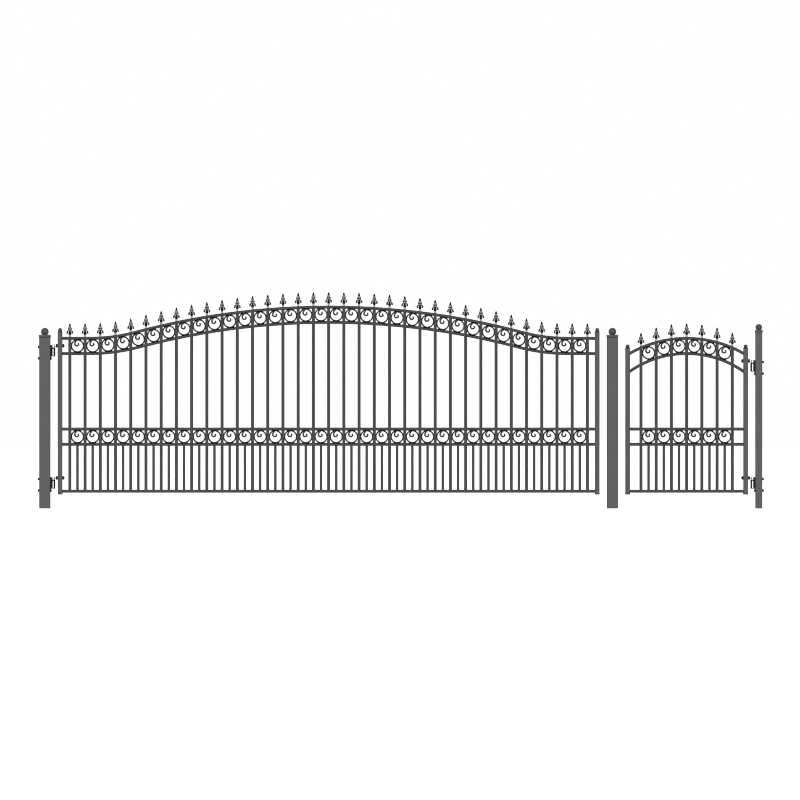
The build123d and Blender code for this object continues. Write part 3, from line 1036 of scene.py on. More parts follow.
@dataclass
class GatePosts:
    """Three square tube posts, each with a flared cap and a ball."""

    shop: Workshop
    corner: float = 0.008
    side_corner: float = 0.006
    wall: float = 0.003
    foot_depth: float = 0.06
    flare: float = 0.003
    ball: float = 0.035
    side_ball: float = 0.03
    neck: float = 0.56
    seat: float = 0.029
    ball_base: float = 0.0222
    ball_rings: int = 14

    def build(self) -> None:
        """Make the posts and their caps. The dark band under each cap's slab is a painted shadow line; the side
        post's band is as light as its cap.
        """
        caps, joints = Bench(), Bench()
        for name in ("hinge_post", "latch_post", "side_post"):
            low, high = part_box(name)
            small = name == "side_post"
            self.post(name, low, high, self.side_corner if small else self.corner)
            width = high.x - low.x
            place = Matrix.Translation(((low.x + high.x) / 2, 0, high.z))
            caps.take(self.cap(width, self.side_ball if small else self.ball), place)
            (caps if small else joints).take(self.joint(width), place)
        self.shop.hand_over(caps, "post_ball_caps", FinishRack.CAP, Body.POSTS, "post_caps")
        # Dark bands under the caps' slabs: painted shadow lines.
        self.shop.hand_over(joints, "post_cap_painted_shadow_lines", FinishRack.PICKET, Body.POSTS, "post_caps")

    def post(self, name: str, low: Vector, high: Vector, corner: float) -> None:
        """Make one post, a tube that is open at its foot.

        Args:
            name: The CAD node that it stands for.
            low: Lowest corner of the post.
            high: Highest corner.
            corner: Radius of its long edges.
        """
        bench = Bench()
        bench.tube(low, high, corner, steps=4)
        foot = [f for f in bench.bm.faces if f.normal.z < -0.9]
        bmesh.ops.inset_region(bench.bm, faces=foot, thickness=self.wall)
        made = bmesh.ops.extrude_face_region(bench.bm, geom=foot)["geom"]
        inner = [g for g in made if isinstance(g, bmesh.types.BMVert)]
        bmesh.ops.translate(bench.bm, vec=(0, 0, self.foot_depth), verts=inner)
        bmesh.ops.delete(bench.bm, geom=[f for f in foot if f.is_valid], context="FACES_ONLY")
        self.shop.hand_over(bench, f"{name}_tube", FinishRack.POST, Body.POSTS, name)

    def cap(self, width: float, ball: float) -> Bench:
        """Make one cap: a slab with a low crown, then a necked ball.

        Args:
            width: Width of the post.
            ball: Radius of the ball.

        Returns:
            The bench that holds it, with the post's top at the origin.
        """
        rim = width + 2 * self.flare
        cap = self.stack((
            (0.0068, width - 0.004), (0.0076, rim - 0.004), (0.0092, rim - 0.0012), (0.0108, rim), (0.0252, rim),
            (0.0266, rim - 0.0014), (0.0272, rim - 0.004), (0.0292, width * 0.6), (0.0302, width * 0.3),
        ))
        neck, seat, centre = ball * self.neck, self.seat, self.ball_base + ball
        profile = [
            (0.0, seat), (neck + 0.004, seat), (neck + 0.0055, seat + 0.0015), (neck + 0.004, seat + 0.003),
            (neck, seat + 0.0045),
        ]
        inner = neck - 0.001
        first = -atan(sqrt(ball**2 - inner**2) / inner)
        for i in range(self.ball_rings):
            angle = first + (pi / 2 - first) * i / self.ball_rings
            profile.append((ball * cos(angle), centre + ball * sin(angle)))
        profile.append((0.0, centre + ball))
        turn = Bench()
        turn.spin([point for point in profile if point[1] >= seat - SAME_PLACE], 36)
        cap.take(turn)
        return cap

    def joint(self, width: float) -> Bench:
        """Make the band between a post's top and its cap's slab, dark as a painted shadow line under the slab.

        Args:
            width: Width of the post.

        Returns:
            The bench that holds it, with the post's top at the origin.
        """
        edge, wide = width + 0.0012, width + 0.0028
        return self.stack(((0.0, width - 0.002), (0.0006, edge), (0.0022, wide), (0.0052, wide), (0.007, edge)))

    def stack(self, levels: Iterable[tuple[float, float]]) -> Bench:
        """Draw a square with rounded corners through a row of levels.

        Args:
            levels: Height and width at each level.

        Returns:
            The bench that holds the shape.
        """
        bench = Bench()
        bench.draw(bench.section(1.0, 1.0, 0.05, 4), [level_section(z, size) for z, size in levels])
        return bench


# --------------------------------------------------------------------------- leaf frames


@dataclass
class Stiles:
    """The two upright end tubes of a leaf, with their turned finials and moulded feet."""

    shop: Workshop
    plan: LeafPlan
    corner: float = 0.0045
    foot: float = 0.14
    collar: float = 0.023
    collar_height: float = 0.007
    dome: float = 0.017
    dome_height: float = 0.032
    plug: float = 0.044
    plug_height: float = 0.015
    pad_inset: float = 0.005
    pad_depth: float = 0.0012

    def build(self) -> None:
        """Make the tubes, the finials and the feet."""
        half = self.plan.stile_coated / 2
        plan, shop = self.plan, self.shop
        finials, bands, feet = Bench(), Bench(), Bench()
        for end, x in (("hinge", plan.hinge_x), ("latch", plan.latch_x)):
            bench = Bench()
            bench.tube((x - half, -half, self.foot), (x + half, half, plan.stile_top), self.corner)
            shop.hand_over_leaf(bench, plan, f"{end}_stile_tube", FinishRack.LEAF, f"{end}_stile")
            top = Matrix.Translation((x, 0, plan.stile_top))
            finials.take(self.finial(), top)
            bands.take(self.band(), top)
            feet.take(self.plug_shape(), Matrix.Translation((x, 0, self.foot - self.plug_height)))
        shop.hand_over_leaf(finials, plan, "acorn_finials", FinishRack.FINIAL, "stile_finials")
        # Dark beads in the finials' coves: painted shade.
        shop.hand_over_leaf(bands, plan, "finial_cove_painted_shade", FinishRack.BRACKET, "stile_finials")
        shop.hand_over_leaf(feet, plan, "moulded_feet", FinishRack.FOOT, "stile_plugs")

    def finial(self) -> Bench:
        """Turn one finial: a beaded collar, a cove and a round-topped dome.

        Returns:
            The bench that holds it.
        """
        bench = Bench()
        wide, high, dome = self.collar, self.collar_height, self.dome
        shoulder = high + self.dome_height - dome
        profile = [
            (0.0, 0.0), (wide - 0.0012, 0.0), (wide, 0.0012), (wide, high - 0.003), (wide - 0.0012, high - 0.0012),
            (wide - 0.0035, high), (dome + 0.0008, high + 0.0006), (dome - 0.0015, high + 0.0026),
            (dome - 0.0006, high + 0.006), (dome, shoulder - 0.002),
        ]
        profile += quarter_round(dome, shoulder, dome, 8)
        bench.spin(profile, 32)
        return bench

    def band(self) -> Bench:
        """Turn the dark bead that sits in a finial's cove, as painted shade in the cove.

        Returns:
            The bench that holds it.
        """
        bench = Bench()
        low, wide = self.collar_height + 0.0003, self.dome
        inner, edge, outer = wide - 0.003, wide + 0.0005, wide + 0.0018
        profile = (
            (inner, low), (edge, low), (outer, low + 0.0013), (outer, low + 0.0034), (edge, low + 0.0048),
            (inner, low + 0.0052),
        )
        bench.spin(profile, 32, closed=True)
        return bench

    def plug_shape(self) -> Bench:
        """Make one foot: a moulded cap with softened edges and a shallow hollow under it.

        Returns:
            The bench that holds it.
        """
        bench = Bench()
        half = self.plug / 2
        bench.tube((-half, -half, 0.0), (half, half, self.plug_height), 0.004)
        bench.soften(0.0015)
        pad = max((f for f in bench.bm.faces if f.normal.z < -0.9), key=lambda f: f.calc_area())
        bmesh.ops.inset_region(bench.bm, faces=[pad], thickness=self.pad_inset)
        bmesh.ops.translate(bench.bm, vec=(0, 0, self.pad_depth), verts=list(pad.verts))
        return bench


@dataclass
class Rails:
    """The tubes that run from stile to stile: two along the curve, two along the mid band and one at the foot."""

    shop: Workshop
    plan: LeafPlan
    height: float = 0.027
    corner: float = 0.0035
    steps_per_metre: float = 26.0

    def build(self) -> None:
        """Make the five rails."""
        plan = self.plan
        for place, offset in (("upper", plan.half_band), ("lower", -plan.half_band)):
            self.rail(plan.top_line, offset, f"{plan.curve}_rail_{place}", True)
            self.rail(plan.mid_line, offset, f"mid_rail_{place}", False)
        self.rail(BandLine(plan.bottom), 0.0, "bottom_rail", False)

    def rail(self, line: BandLine, offset: float, node: str, curved: bool) -> None:
        """Make one rail, a straight tube that is bent to its line.

        Args:
            line: The line that it follows.
            offset: How far above the line its middle runs.
            node: The CAD node that it stands for, within the leaf.
            curved: Whether the line bends.
        """
        plan = self.plan
        start, end = plan.faces
        half, depth = self.height / 2, plan.rail_depth / 2
        bench = Bench()
        bench.tube((start, -depth, -half), (end, depth, half), self.corner, "X")
        if curved:
            long = [e for e in bench.bm.edges if abs(e.verts[0].co.x - e.verts[1].co.x) > 0.01]
            cuts = int((end - start) * self.steps_per_metre)
            bmesh.ops.subdivide_edges(bench.bm, edges=long, cuts=cuts, use_grid_fill=True)
        for vert in bench.bm.verts:
            vert.co.z = line.height(vert.co.x, offset + vert.co.z)
        self.shop.hand_over_leaf(bench, plan, f"{node}_tube", FinishRack.PICKET, node)


@dataclass
class Pickets:
    """The full-height pickets and the thinner short ones between them."""

    shop: Workshop
    plan: LeafPlan
    width: float = 0.0272
    short_width: float = 0.0228
    corner: float = 0.0032

    def build(self) -> None:
        """Make both rows."""
        plan = self.plan
        self.row(plan.columns, plan.top_line, plan.half_band, self.width, "pickets")
        self.row(plan.bays, plan.mid_line, -plan.half_band, self.short_width, "short_pickets")

    def row(self, columns: list[float], line: BandLine, offset: float, width: float, node: str) -> None:
        """Make a row of pickets that end under one rail, each cut to the rail's slope.

        Args:
            columns: Middles of the pickets.
            line: Line of the band that the rail belongs to.
            offset: How far above the line the rail's middle runs.
            width: Width of the pickets.
            node: The CAD node that they stand for, within the leaf.
        """
        bench = Bench()
        plan, half = self.plan, width / 2
        foot = plan.picket_foot
        for x in columns:
            # A metre long at first; then the upper end is moved to the rail's underside.
            verts = bench.tube((x - half, -half, foot), (x + half, half, foot + 1.0), self.corner, steps=2)
            for vert in verts:
                if vert.co.z > foot + 0.5:
                    vert.co.z = line.height(vert.co.x, offset - plan.rail / 2)
        self.shop.hand_over_leaf(bench, plan, f"{node}_tubes", FinishRack.PICKET, node)


# --------------------------------------------------------------------------- ornament


@dataclass
class RingBand:
    """Rings of flat bar, each with a scroll that leaves its wall and curls to the middle."""

    shop: Workshop
    plan: LeafPlan
    diameter: float = 0.1214
    bar: float = 0.0128
    depth: float = 0.012
    corner: float = 0.0018
    scroll_bar: float = 0.0142
    scroll_start: tuple[float, float, float] = (-0.0039, 0.05, 207.2)
    scroll_arcs: tuple[tuple[float, float, int], ...] = (
        (0.042, 15, 2), (0.034, 46, 5), (0.018, 143, 12), (0.0102, 112, 9),
    )
    taper_run: float = 0.3
    taper: float = 0.72
    tip: float = 0.0012
    steps: int = 48

    def build(self) -> None:
        """Make the rings of both bands."""
        plan = self.plan
        pattern = self.ring()
        for band, line in (("top", plan.top_line), ("mid", plan.mid_line)):
            bench = Bench()
            for x in plan.bays:
                bench.take(pattern, Matrix.Translation((x, 0, line.height(x))))
            self.shop.hand_over_leaf(bench, plan, f"{band}_scrolled_rings", FinishRack.SCROLL, f"{band}_rings")

    def ring(self) -> Bench:
        """Make one ring with its scroll, about the origin.

        Returns:
            The bench that holds it.
        """
        bench = Bench()
        faces = bench.section(self.bar, self.depth, self.corner)
        bmesh.ops.delete(bench.bm, geom=faces, context="FACES_ONLY")
        bmesh.ops.translate(bench.bm, vec=(self.diameter / 2 - self.bar / 2, 0, 0), verts=bench.bm.verts)
        bench.revolve(list(bench.bm.verts) + list(bench.bm.edges), (0, 1, 0), self.steps)
        scroll = Bench()
        x, z, heading = self.scroll_start
        line = bends(x, z, radians(heading), self.scroll_arcs)
        last = len(line) - 1
        stations = []
        for i, (px, pz, way) in enumerate(line):
            left = (last - i) / last
            narrow = 1.0 if left > self.taper_run else self.taper + (1.0 - self.taper) * left / self.taper_run
            stations.append(station(px, pz, way, narrow))
        end_x, end_z, way = line[-1]
        tip = station(end_x + self.tip * cos(way), end_z + self.tip * sin(way), way, 0.45, 0.8)
        stations.append(tip)
        scroll.draw(scroll.section(self.scroll_bar, self.depth - 0.001, self.corner), stations)
        bench.take(scroll)
        return bench


@dataclass
class SpearHeads:
    """Cast spear heads: a socket, a bulb, two lobed skirts, a band, four hooked arms and a faceted point.

    The tables hold radius and height; an arm's rows also its way in degrees, thickness and width.
    """

    shop: Workshop
    plan: LeafPlan
    socket: float = 0.0205
    socket_height: float = 0.019
    socket_taper: float = 0.94
    bulb: float = 0.012
    lobes: float = 0.2
    lobes_from: float = 0.0095
    lobes_run: float = 0.006
    skirts: Pairs = (
        (0.0, 0.049), (0.009, 0.0495), (0.0152, 0.0512), (0.0176, 0.053), (0.0184, 0.055), (0.018, 0.0575),
        (0.0172, 0.061), (0.0164, 0.065), (0.0156, 0.0682), (0.0162, 0.0692), (0.0194, 0.0748), (0.018, 0.078),
        (0.0164, 0.0815), (0.0144, 0.0855), (0.0124, 0.0902), (0.0108, 0.095), (0.0, 0.0968),
    )
    # Section of the band, near-black as a painted shadow line under the upper skirt.
    band: Pairs = (
        (0.0158, 0.069), (0.02, 0.0698), (0.021, 0.0716), (0.0203, 0.0738), (0.0158, 0.0756),
    )
    arm: tuple[tuple[float, float, float, float, float], ...] = (
        (0.0136, 0.0572, -42, 0.005, 0.007), (0.0182, 0.0533, -50, 0.0112, 0.0115),
        (0.0205, 0.0482, -62, 0.0145, 0.0145), (0.0222, 0.0428, -70, 0.0155, 0.016),
        (0.0237, 0.0378, -78, 0.0145, 0.016), (0.0247, 0.0338, -86, 0.0122, 0.0135),
        (0.0256, 0.0308, -90, 0.009, 0.0105), (0.026, 0.0292, -90, 0.005, 0.006),
    )
    tie: Pairs = ((0.0105, 0.0326), (0.0165, 0.0316), (0.0225, 0.0318))
    tie_size: tuple[float, float] = (0.0042, 0.006)
    point: Pairs = (
        (0.092, 0.0088), (0.0955, 0.0108), (0.0995, 0.0102), (0.106, 0.0086), (0.112, 0.0067), (0.118, 0.0043),
        (0.1222, 0.0014),
    )

    def build(self) -> None:
        """Make a head over each full-height picket."""
        plan = self.plan
        skirts, barbs, dark, sockets = Bench(), Bench(), Bench(), Bench()
        skirt_pattern, dark_pattern = self.skirt(), self.dark_parts()
        barb_pattern = Bench()
        # Side arms only; the front and back arms are near-black as painted shade, with the dark parts.
        self.arms(barb_pattern, (0, 2))
        for x in plan.columns:
            top = plan.top_line.height(x, plan.crest)
            place = Matrix.Translation((x, 0, top))
            skirts.take(skirt_pattern, place)
            barbs.take(barb_pattern, place)
            dark.take(dark_pattern, place)
            self.stand(sockets, x, top)
        for bench, piece, finish in (
            # the skirts' light grey is painted highlight
            (skirts, "spear_skirts", FinishRack.SPEAR_HIGHLIGHT),
            (barbs, "spear_barbs", FinishRack.BARB),
            # near-black point, with the band, the bulb and the front and back arms as painted shade
            (dark, "spear_points_and_painted_shade", FinishRack.POINT_AND_SHADE),
            # the sockets' light grey is painted highlight
            (sockets, "spear_sockets", FinishRack.SOCKET_HIGHLIGHT),
        ):
            self.shop.hand_over_leaf(bench, plan, piece, finish, "spears")

    def stand(self, bench: Bench, x: float, top: float) -> None:
        """Make one socket, cut to the slope of the rail that it stands on.

        Args:
            bench: The bench that collects the sockets.
            x: Middle of the picket.
            top: Height of the rail's top there.
        """
        plan, half = self.plan, self.socket / 2
        verts = bench.tube((x - half, -half, top), (x + half, half, top + self.socket_height), 0.003, steps=2)
        for vert in verts:
            if vert.co.z < top + 0.001:
                vert.co.z = plan.top_line.height(vert.co.x, plan.crest)
            else:
                vert.co.x = x + (vert.co.x - x) * self.socket_taper
                vert.co.y *= self.socket_taper

    def lobed(self, bench: Bench) -> Bench:
        """Pull a turned shape into four lobes.

        Args:
            bench: The turned shape.

        Returns:
            The same bench.
        """
        for vert in bench.bm.verts:
            reach = hypot(vert.co.x, vert.co.y)
            if reach > self.lobes_from:
                cross = (2 * vert.co.x * vert.co.y / reach**2) ** 2
                pull = 1.0 - self.lobes * cross * min((reach - self.lobes_from) / self.lobes_run, 1.0)
                vert.co.x, vert.co.y = vert.co.x * pull, vert.co.y * pull
        return bench

    def skirt(self) -> Bench:
        """Turn the two skirts and pull them into four lobes.

        Returns:
            The bench that holds them.
        """
        bench = Bench()
        bench.spin(self.skirts, 24)
        return self.lobed(bench)

    def arms(self, bench: Bench, quarters: Iterable[int]) -> None:
        """Make arms that leave the lower skirt and hook down, each with a tie to the bulb.

        Args:
            bench: The bench that collects them.
            quarters: Quarter turns at which they stand, 0 for +X.
        """
        for quarter in quarters:
            arm = Bench()
            stations = [station(r, z, radians(way), thick, wide) for r, z, way, thick, wide in self.arm]
            arm.draw(arm.section(1.0, 1.0, 0.4, 2), stations)
            tie = Bench()
            tie.draw(tie.section(1.0, 1.0, 0.3, 2), [station(r, z, 0.0, *self.tie_size) for r, z in self.tie])
            arm.take(tie)
            bench.take(arm, Matrix.Rotation(quarter * pi / 2, 4, "Z"))

    def dark_parts(self) -> Bench:
        """Make the near-black parts: the point; the band, a painted shadow line under the upper skirt; the front and
        back arms and the bulb, painted shade under the skirts.

        Returns:
            The bench that holds them.
        """
        bench = Bench()
        seat, bulb = self.socket_height - 0.001, self.bulb
        profile = (
            (0.0, seat), (0.009, seat), (0.0106, seat + 0.001), (0.0106, seat + 0.0022), (0.0088, seat + 0.003),
            (bulb - 0.0016, 0.0232), (bulb, 0.0265), (bulb + 0.0006, 0.033), (bulb, 0.041),
            (bulb - 0.0022, 0.0468), (0.0066, 0.0502), (0.0, 0.0512),
        )
        bench.spin(profile, 16)
        band = Bench()
        band.spin(self.band, 24, closed=True)
        bench.take(self.lobed(band))
        # Front and back arms, near-black as painted shade under the skirts.
        self.arms(bench, (1, 3))
        blade = Bench()
        square = blade.section(sqrt(2), sqrt(2), 0.16, 2)
        turn = Matrix.Rotation(pi / 4, 4, "Z")
        blade.draw(square, [level_section(z, reach) @ turn for z, reach in self.point])
        bench.take(blade)
        return bench


# --------------------------------------------------------------------------- hinges


@dataclass
class HingeRods:
    """Bent rods of a leaf: each is nutted on both sides of the hinge stile and stands in its barrel."""

    shop: Workshop
    plan: LeafPlan
    radius: float = 0.009
    bend: float = 0.024
    pin: float = 0.072
    thread_end: float = 0.021
    thread_pitch: float = 0.0025
    nut_across: float = 0.031
    nut_height: float = 0.0135
    outer_nut_height: float = 0.0105
    eye: float = 0.016
    eye_below: float = 0.0158
    eye_above: float = 0.011
    washer: float = 0.0155
    washer_height: float = 0.004
    round_steps: int = 20
    thread_start: float = 0.026
    thread_core: float = 0.8
    thread_root: float = 0.905

    def build(self) -> None:
        """Make the rods, then their nuts and washers."""
        plan = self.plan
        rods, nuts, washers = Bench(), Bench(), Bench()
        for level in plan.rod_levels:
            rods.take(self.rod(level))
            for side in (1, -1):
                self.fixing(nuts, washers, level, side)
        self.shop.hand_over_leaf(rods, plan, "bent_hinge_rods", FinishRack.STEEL, "hinge_pins")
        self.shop.hand_over_leaf(nuts, plan, "hinge_rod_nuts", FinishRack.BRACKET, smooth=HEXAGON_SMOOTH)
        self.shop.hand_over_leaf(washers, plan, "hinge_rod_washers", FinishRack.LEAF, smooth=HEXAGON_SMOOTH)

    def rod(self, level: float) -> Bench:
        """Make one rod, threaded where its nuts run and with a solid eye over its bend.

        Args:
            level: Height of its arm.

        Returns:
            The bench that holds it.
        """
        plan, toward = self.plan, self.plan.toward
        arm_end = plan.hinge_x + toward * (plan.stile / 2 + self.thread_end)
        threaded = plan.hinge_x - toward * (plan.stile / 2 + self.thread_start)
        bend_x = plan.axis_x + toward * self.bend
        foot = level - self.bend - self.pin
        way = pi if toward > 0 else 0.0
        line = [(threaded, level, way), (bend_x + toward * 0.0002, level, way)]
        line += bends(bend_x, level, way, [(self.bend, 90 * toward, 12)])
        down = line[-1][2]
        line.append((plan.axis_x, foot + 0.0015, down))
        core = ((arm_end - toward * 0.001, level, way), (threaded, level, way))
        stations = [station(*place, 0.9, 0.9) for place in core]
        stations += [station(*place) for place in line]
        stations.append(station(plan.axis_x, foot, down, 0.84, 0.84))
        bench = Bench()
        bench.draw(bench.round_section(self.radius, self.round_steps), stations)
        thread = self.thread(abs(arm_end - threaded))
        bench.take(thread, along_gate(min(arm_end, threaded), level))
        bench.take(self.knuckle(), Matrix.Translation((plan.axis_x, 0, level)))
        return bench

    def thread(self, length: float) -> Bench:
        """Turn the threaded run of a rod, as rings instead of a helix.

        Args:
            length: Its length.

        Returns:
            The bench that holds it, standing on +Z.
        """
        bench = Bench()
        turns = int(length / self.thread_pitch)
        core, root = self.radius * self.thread_core, self.radius * self.thread_root
        profile = [(core, 0.0)]
        for i in range(turns):
            z = i * length / turns
            profile += [(root, z + 0.0001), (self.radius, z + self.thread_pitch * 0.45)]
        profile.append((core, length))
        bench.spin(profile, self.round_steps)
        return bench

    def knuckle(self) -> Bench:
        """Turn the eye over a rod's bend.

        Returns:
            The bench that holds it, with the rod's level at the origin.
        """
        bench = Bench()
        wide, low, high = self.eye, -self.eye_below, self.eye_above
        profile = (
            (0.0, low), (wide - 0.0015, low), (wide, low + 0.0015), (wide, high - 0.003),
            (wide - 0.0009, high - 0.0009), (wide - 0.003, high), (0.0, high),
        )
        bench.spin(profile, 28)
        return bench

    def fixing(self, nuts: Bench, washers: Bench, level: float, side: int) -> None:
        """Make the washer and nut on one side of the stile.

        Args:
            nuts: The bench that collects the nuts.
            washers: The bench that collects the washers.
            level: Height of the rod.
            side: 1 for the side of the stile that faces +X.
        """
        face = self.plan.hinge_x + side * self.plan.stile_coated / 2
        washer, nut = Bench(), Bench()
        high = self.washer_height
        washer.spin(collar(self.radius, self.washer, 0.0, high, 0.0006), 28, closed=True)
        washers.take(washer, along_gate(face, level, side < 0))
        nut_height = self.outer_nut_height if side == self.plan.toward else self.nut_height
        nut.nut(self.nut_across, nut_height, self.radius)
        nuts.take(nut, along_gate(face + side * high, level, side < 0))


@dataclass
class HingeBrackets:
    """Plates, barrels in black straps and through bolts, on the hinge post and the side post. The black straps are
    painted shade on the barrels' sides, round a light middle stripe.

    shade_strap_turns is how far a strap reaches round the barrel from its middle, in degrees to each way: first
    the strap on the leaf's side of the barrel, then the one on the post's side.
    """

    shop: Workshop
    plans: tuple[LeafPlan, ...]
    plate: tuple[float, float, float] = (0.008, 0.04, 0.135)
    above_rod: float = 0.007
    barrel: float = 0.017
    barrel_height: float = 0.072
    strap: float = 0.002
    shade_strap_turns: tuple[float, float] = (71.0, 57.0)
    bore: float = 0.0091
    bend: float = 0.024
    seat_gap: float = 0.0005
    bolt_drops: tuple[float, float] = (0.0105, 0.114)
    head: float = 0.01
    head_height: float = 0.0045
    cap_nut: float = 0.0125
    cap_nut_height: float = 0.014
    cap_flange: float = 0.013
    cap_flange_height: float = 0.0022
    web: float = 0.0204
    beads: int = 7
    post_widths: tuple[float, ...] = (0.1, 0.063)

    def build(self) -> None:
        """Make the plates, the barrels and the bolts."""
        plates, barrels, bolts = Bench(), Bench(), Bench()
        for plan, post in zip(self.plans, self.post_widths):
            for level in plan.rod_levels:
                self.plate_shape(plates, plan, level)
                self.barrel_shape(barrels, plan, level)
                for drop in self.bolt_drops:
                    self.bolt_shape(bolts, plan, level - drop, post)
        self.shop.hand_over(plates, "hinge_plates", FinishRack.BRACKET, Body.POSTS, "hinge_brackets")
        self.shop.hand_over(barrels, "hinge_barrels", FinishRack.BARREL, Body.POSTS, "hinge_brackets")
        self.shop.hand_over(
            bolts, "hinge_plate_bolts", FinishRack.BRACKET, Body.POSTS, "hinge_bolts", smooth=HEXAGON_SMOOTH
        )

    def plate_shape(self, bench: Bench, plan: LeafPlan, level: float) -> None:
        """Make one plate, with all that holds its barrel: a web, two collars, two straps, which are painted shade on
        the barrel's sides, and beads.

        Args:
            bench: The bench that collects the plates.
            plan: The leaf that it carries.
            level: Height of the rod.
        """
        thick, width, height = self.plate
        face = plan.axis_x - plan.toward * self.barrel
        far = face - plan.toward * thick
        top = level + self.above_rod
        part = Bench()
        part.tube((min(face, far), -width / 2, top - height), (max(face, far), width / 2, top), 0.006, "X")
        part.soften(0.0012)
        barrel_top = level - self.bend - self.seat_gap
        barrel_foot = barrel_top - self.barrel_height
        near = plan.axis_x - plan.toward * self.barrel * 0.62
        low, high = barrel_foot + 0.004, barrel_top - 0.004
        part.tube((min(face, near), -self.web / 2, low), (max(face, near), self.web / 2, high), 0.001)
        out = self.barrel + self.strap
        for low, high, bore in (
            (barrel_top - 0.002, barrel_top + 0.0068, self.bore + 0.0017),
            (barrel_foot, barrel_foot + 0.006, self.bore),
        ):
            rim = Bench()
            rim.spin(collar(bore, out, low, high, 0.0012), 32, closed=True)
            part.take(rim, Matrix.Translation((plan.axis_x, 0, 0)))
        middle = Matrix.Translation((plan.axis_x, 0, barrel_top - self.barrel_height / 2))
        # Black straps over the barrel's sides: painted shade round a light middle stripe.
        for way, spread in zip((0.0, pi) if plan.toward > 0 else (pi, 0.0), self.shade_strap_turns):
            part.take(self.shade_strap_shape(way, radians(spread)), middle)
        for side in (1, -1):
            for i in range(self.beads):
                z = barrel_top - self.barrel_height * (i + 0.5) / self.beads
                place = Matrix.Translation((face + plan.toward * 0.0012, side * 0.0112, z))
                part.bead(self.barrel_height / 6, 0.0058, place @ Matrix.Rotation(pi / 2, 4, "Y"))
        bench.take(part)

    def shade_strap_shape(self, way: float, spread: float) -> Bench:
        """Make one black strap that lies round a barrel's side, as painted shade.

        Args:
            way: Where its middle lies round the barrel, in radians from +X.
            spread: How far it reaches to each way from there, in radians.

        Returns:
            The bench that holds it, with the barrel's middle at the origin.
        """
        bench = Bench()
        lap = 0.0004
        outward = Matrix.Translation((self.barrel + self.strap / 2 - lap, 0, 0)) @ Matrix.Rotation(pi / 2, 4, "X")
        stations = [Matrix.Rotation(way + spread * (i / 5 - 1), 4, "Z") @ outward for i in range(11)]
        bench.draw(bench.section(self.strap + lap, self.barrel_height - 0.004, lap), stations)
        return bench

    def barrel_shape(self, bench: Bench, plan: LeafPlan, level: float) -> None:
        """Make one bored barrel with chamfered ends.

        Args:
            bench: The bench that collects the barrels.
            plan: The leaf that it carries.
            level: Height of the rod.
        """
        part = Bench()
        wall, high, bore, edge = self.barrel, self.barrel_height, self.bore, self.bore + 0.0006
        profile = (
            (bore, 0.0006), (edge, 0.0), (wall - 0.0012, 0.0), (wall, 0.0012), (wall, high - 0.0012),
            (wall - 0.0012, high), (edge, high), (bore, high - 0.0006),
        )
        part.spin(profile, 32, closed=True)
        bench.take(part, Matrix.Translation((plan.axis_x, 0, level - self.bend - self.seat_gap - high)))

    def bolt_shape(self, bench: Bench, plan: LeafPlan, level: float, post: float) -> None:
        """Make one bolt: a low domed head on the plate and a cap nut on the post's far face.

        Args:
            bench: The bench that collects the bolts.
            plan: The leaf that it carries.
            level: Its height.
            post: Width of the post.
        """
        toward = plan.toward
        face = plan.axis_x - toward * self.barrel
        far = face - toward * (self.plate[0] + post)
        head, cap, flange, dome = Bench(), Bench(), Bench(), Bench()
        wide, low = self.head, self.head_height
        shoulder = ((wide, low * 0.3), (wide * 0.86, low * 0.68), (wide * 0.5, low * 0.94))
        head.spin(((0.0, 0.0), (wide, 0.0), *shoulder, (0.0, low)), 24)
        bench.take(head, along_gate(face, level, toward < 0))
        high = self.cap_nut_height
        cap.nut(self.cap_nut * 1.78, high * 0.5)
        rim, thick = self.cap_flange, self.cap_flange_height
        flange.spin(((0.0, 0.0), (rim, 0.0), (rim, thick - 0.0004), (rim - 0.0005, thick), (0.0, thick)), 24)
        reach, straight = self.cap_nut * 0.86, high * 0.72
        dome.spin([(reach, high * 0.4), *quarter_round(reach, straight, high - straight, 6)], 20)
        cap.take(flange)
        cap.take(dome)
        bench.take(cap, along_gate(far, level, toward > 0))


# --------------------------------------------------------------------------- welds


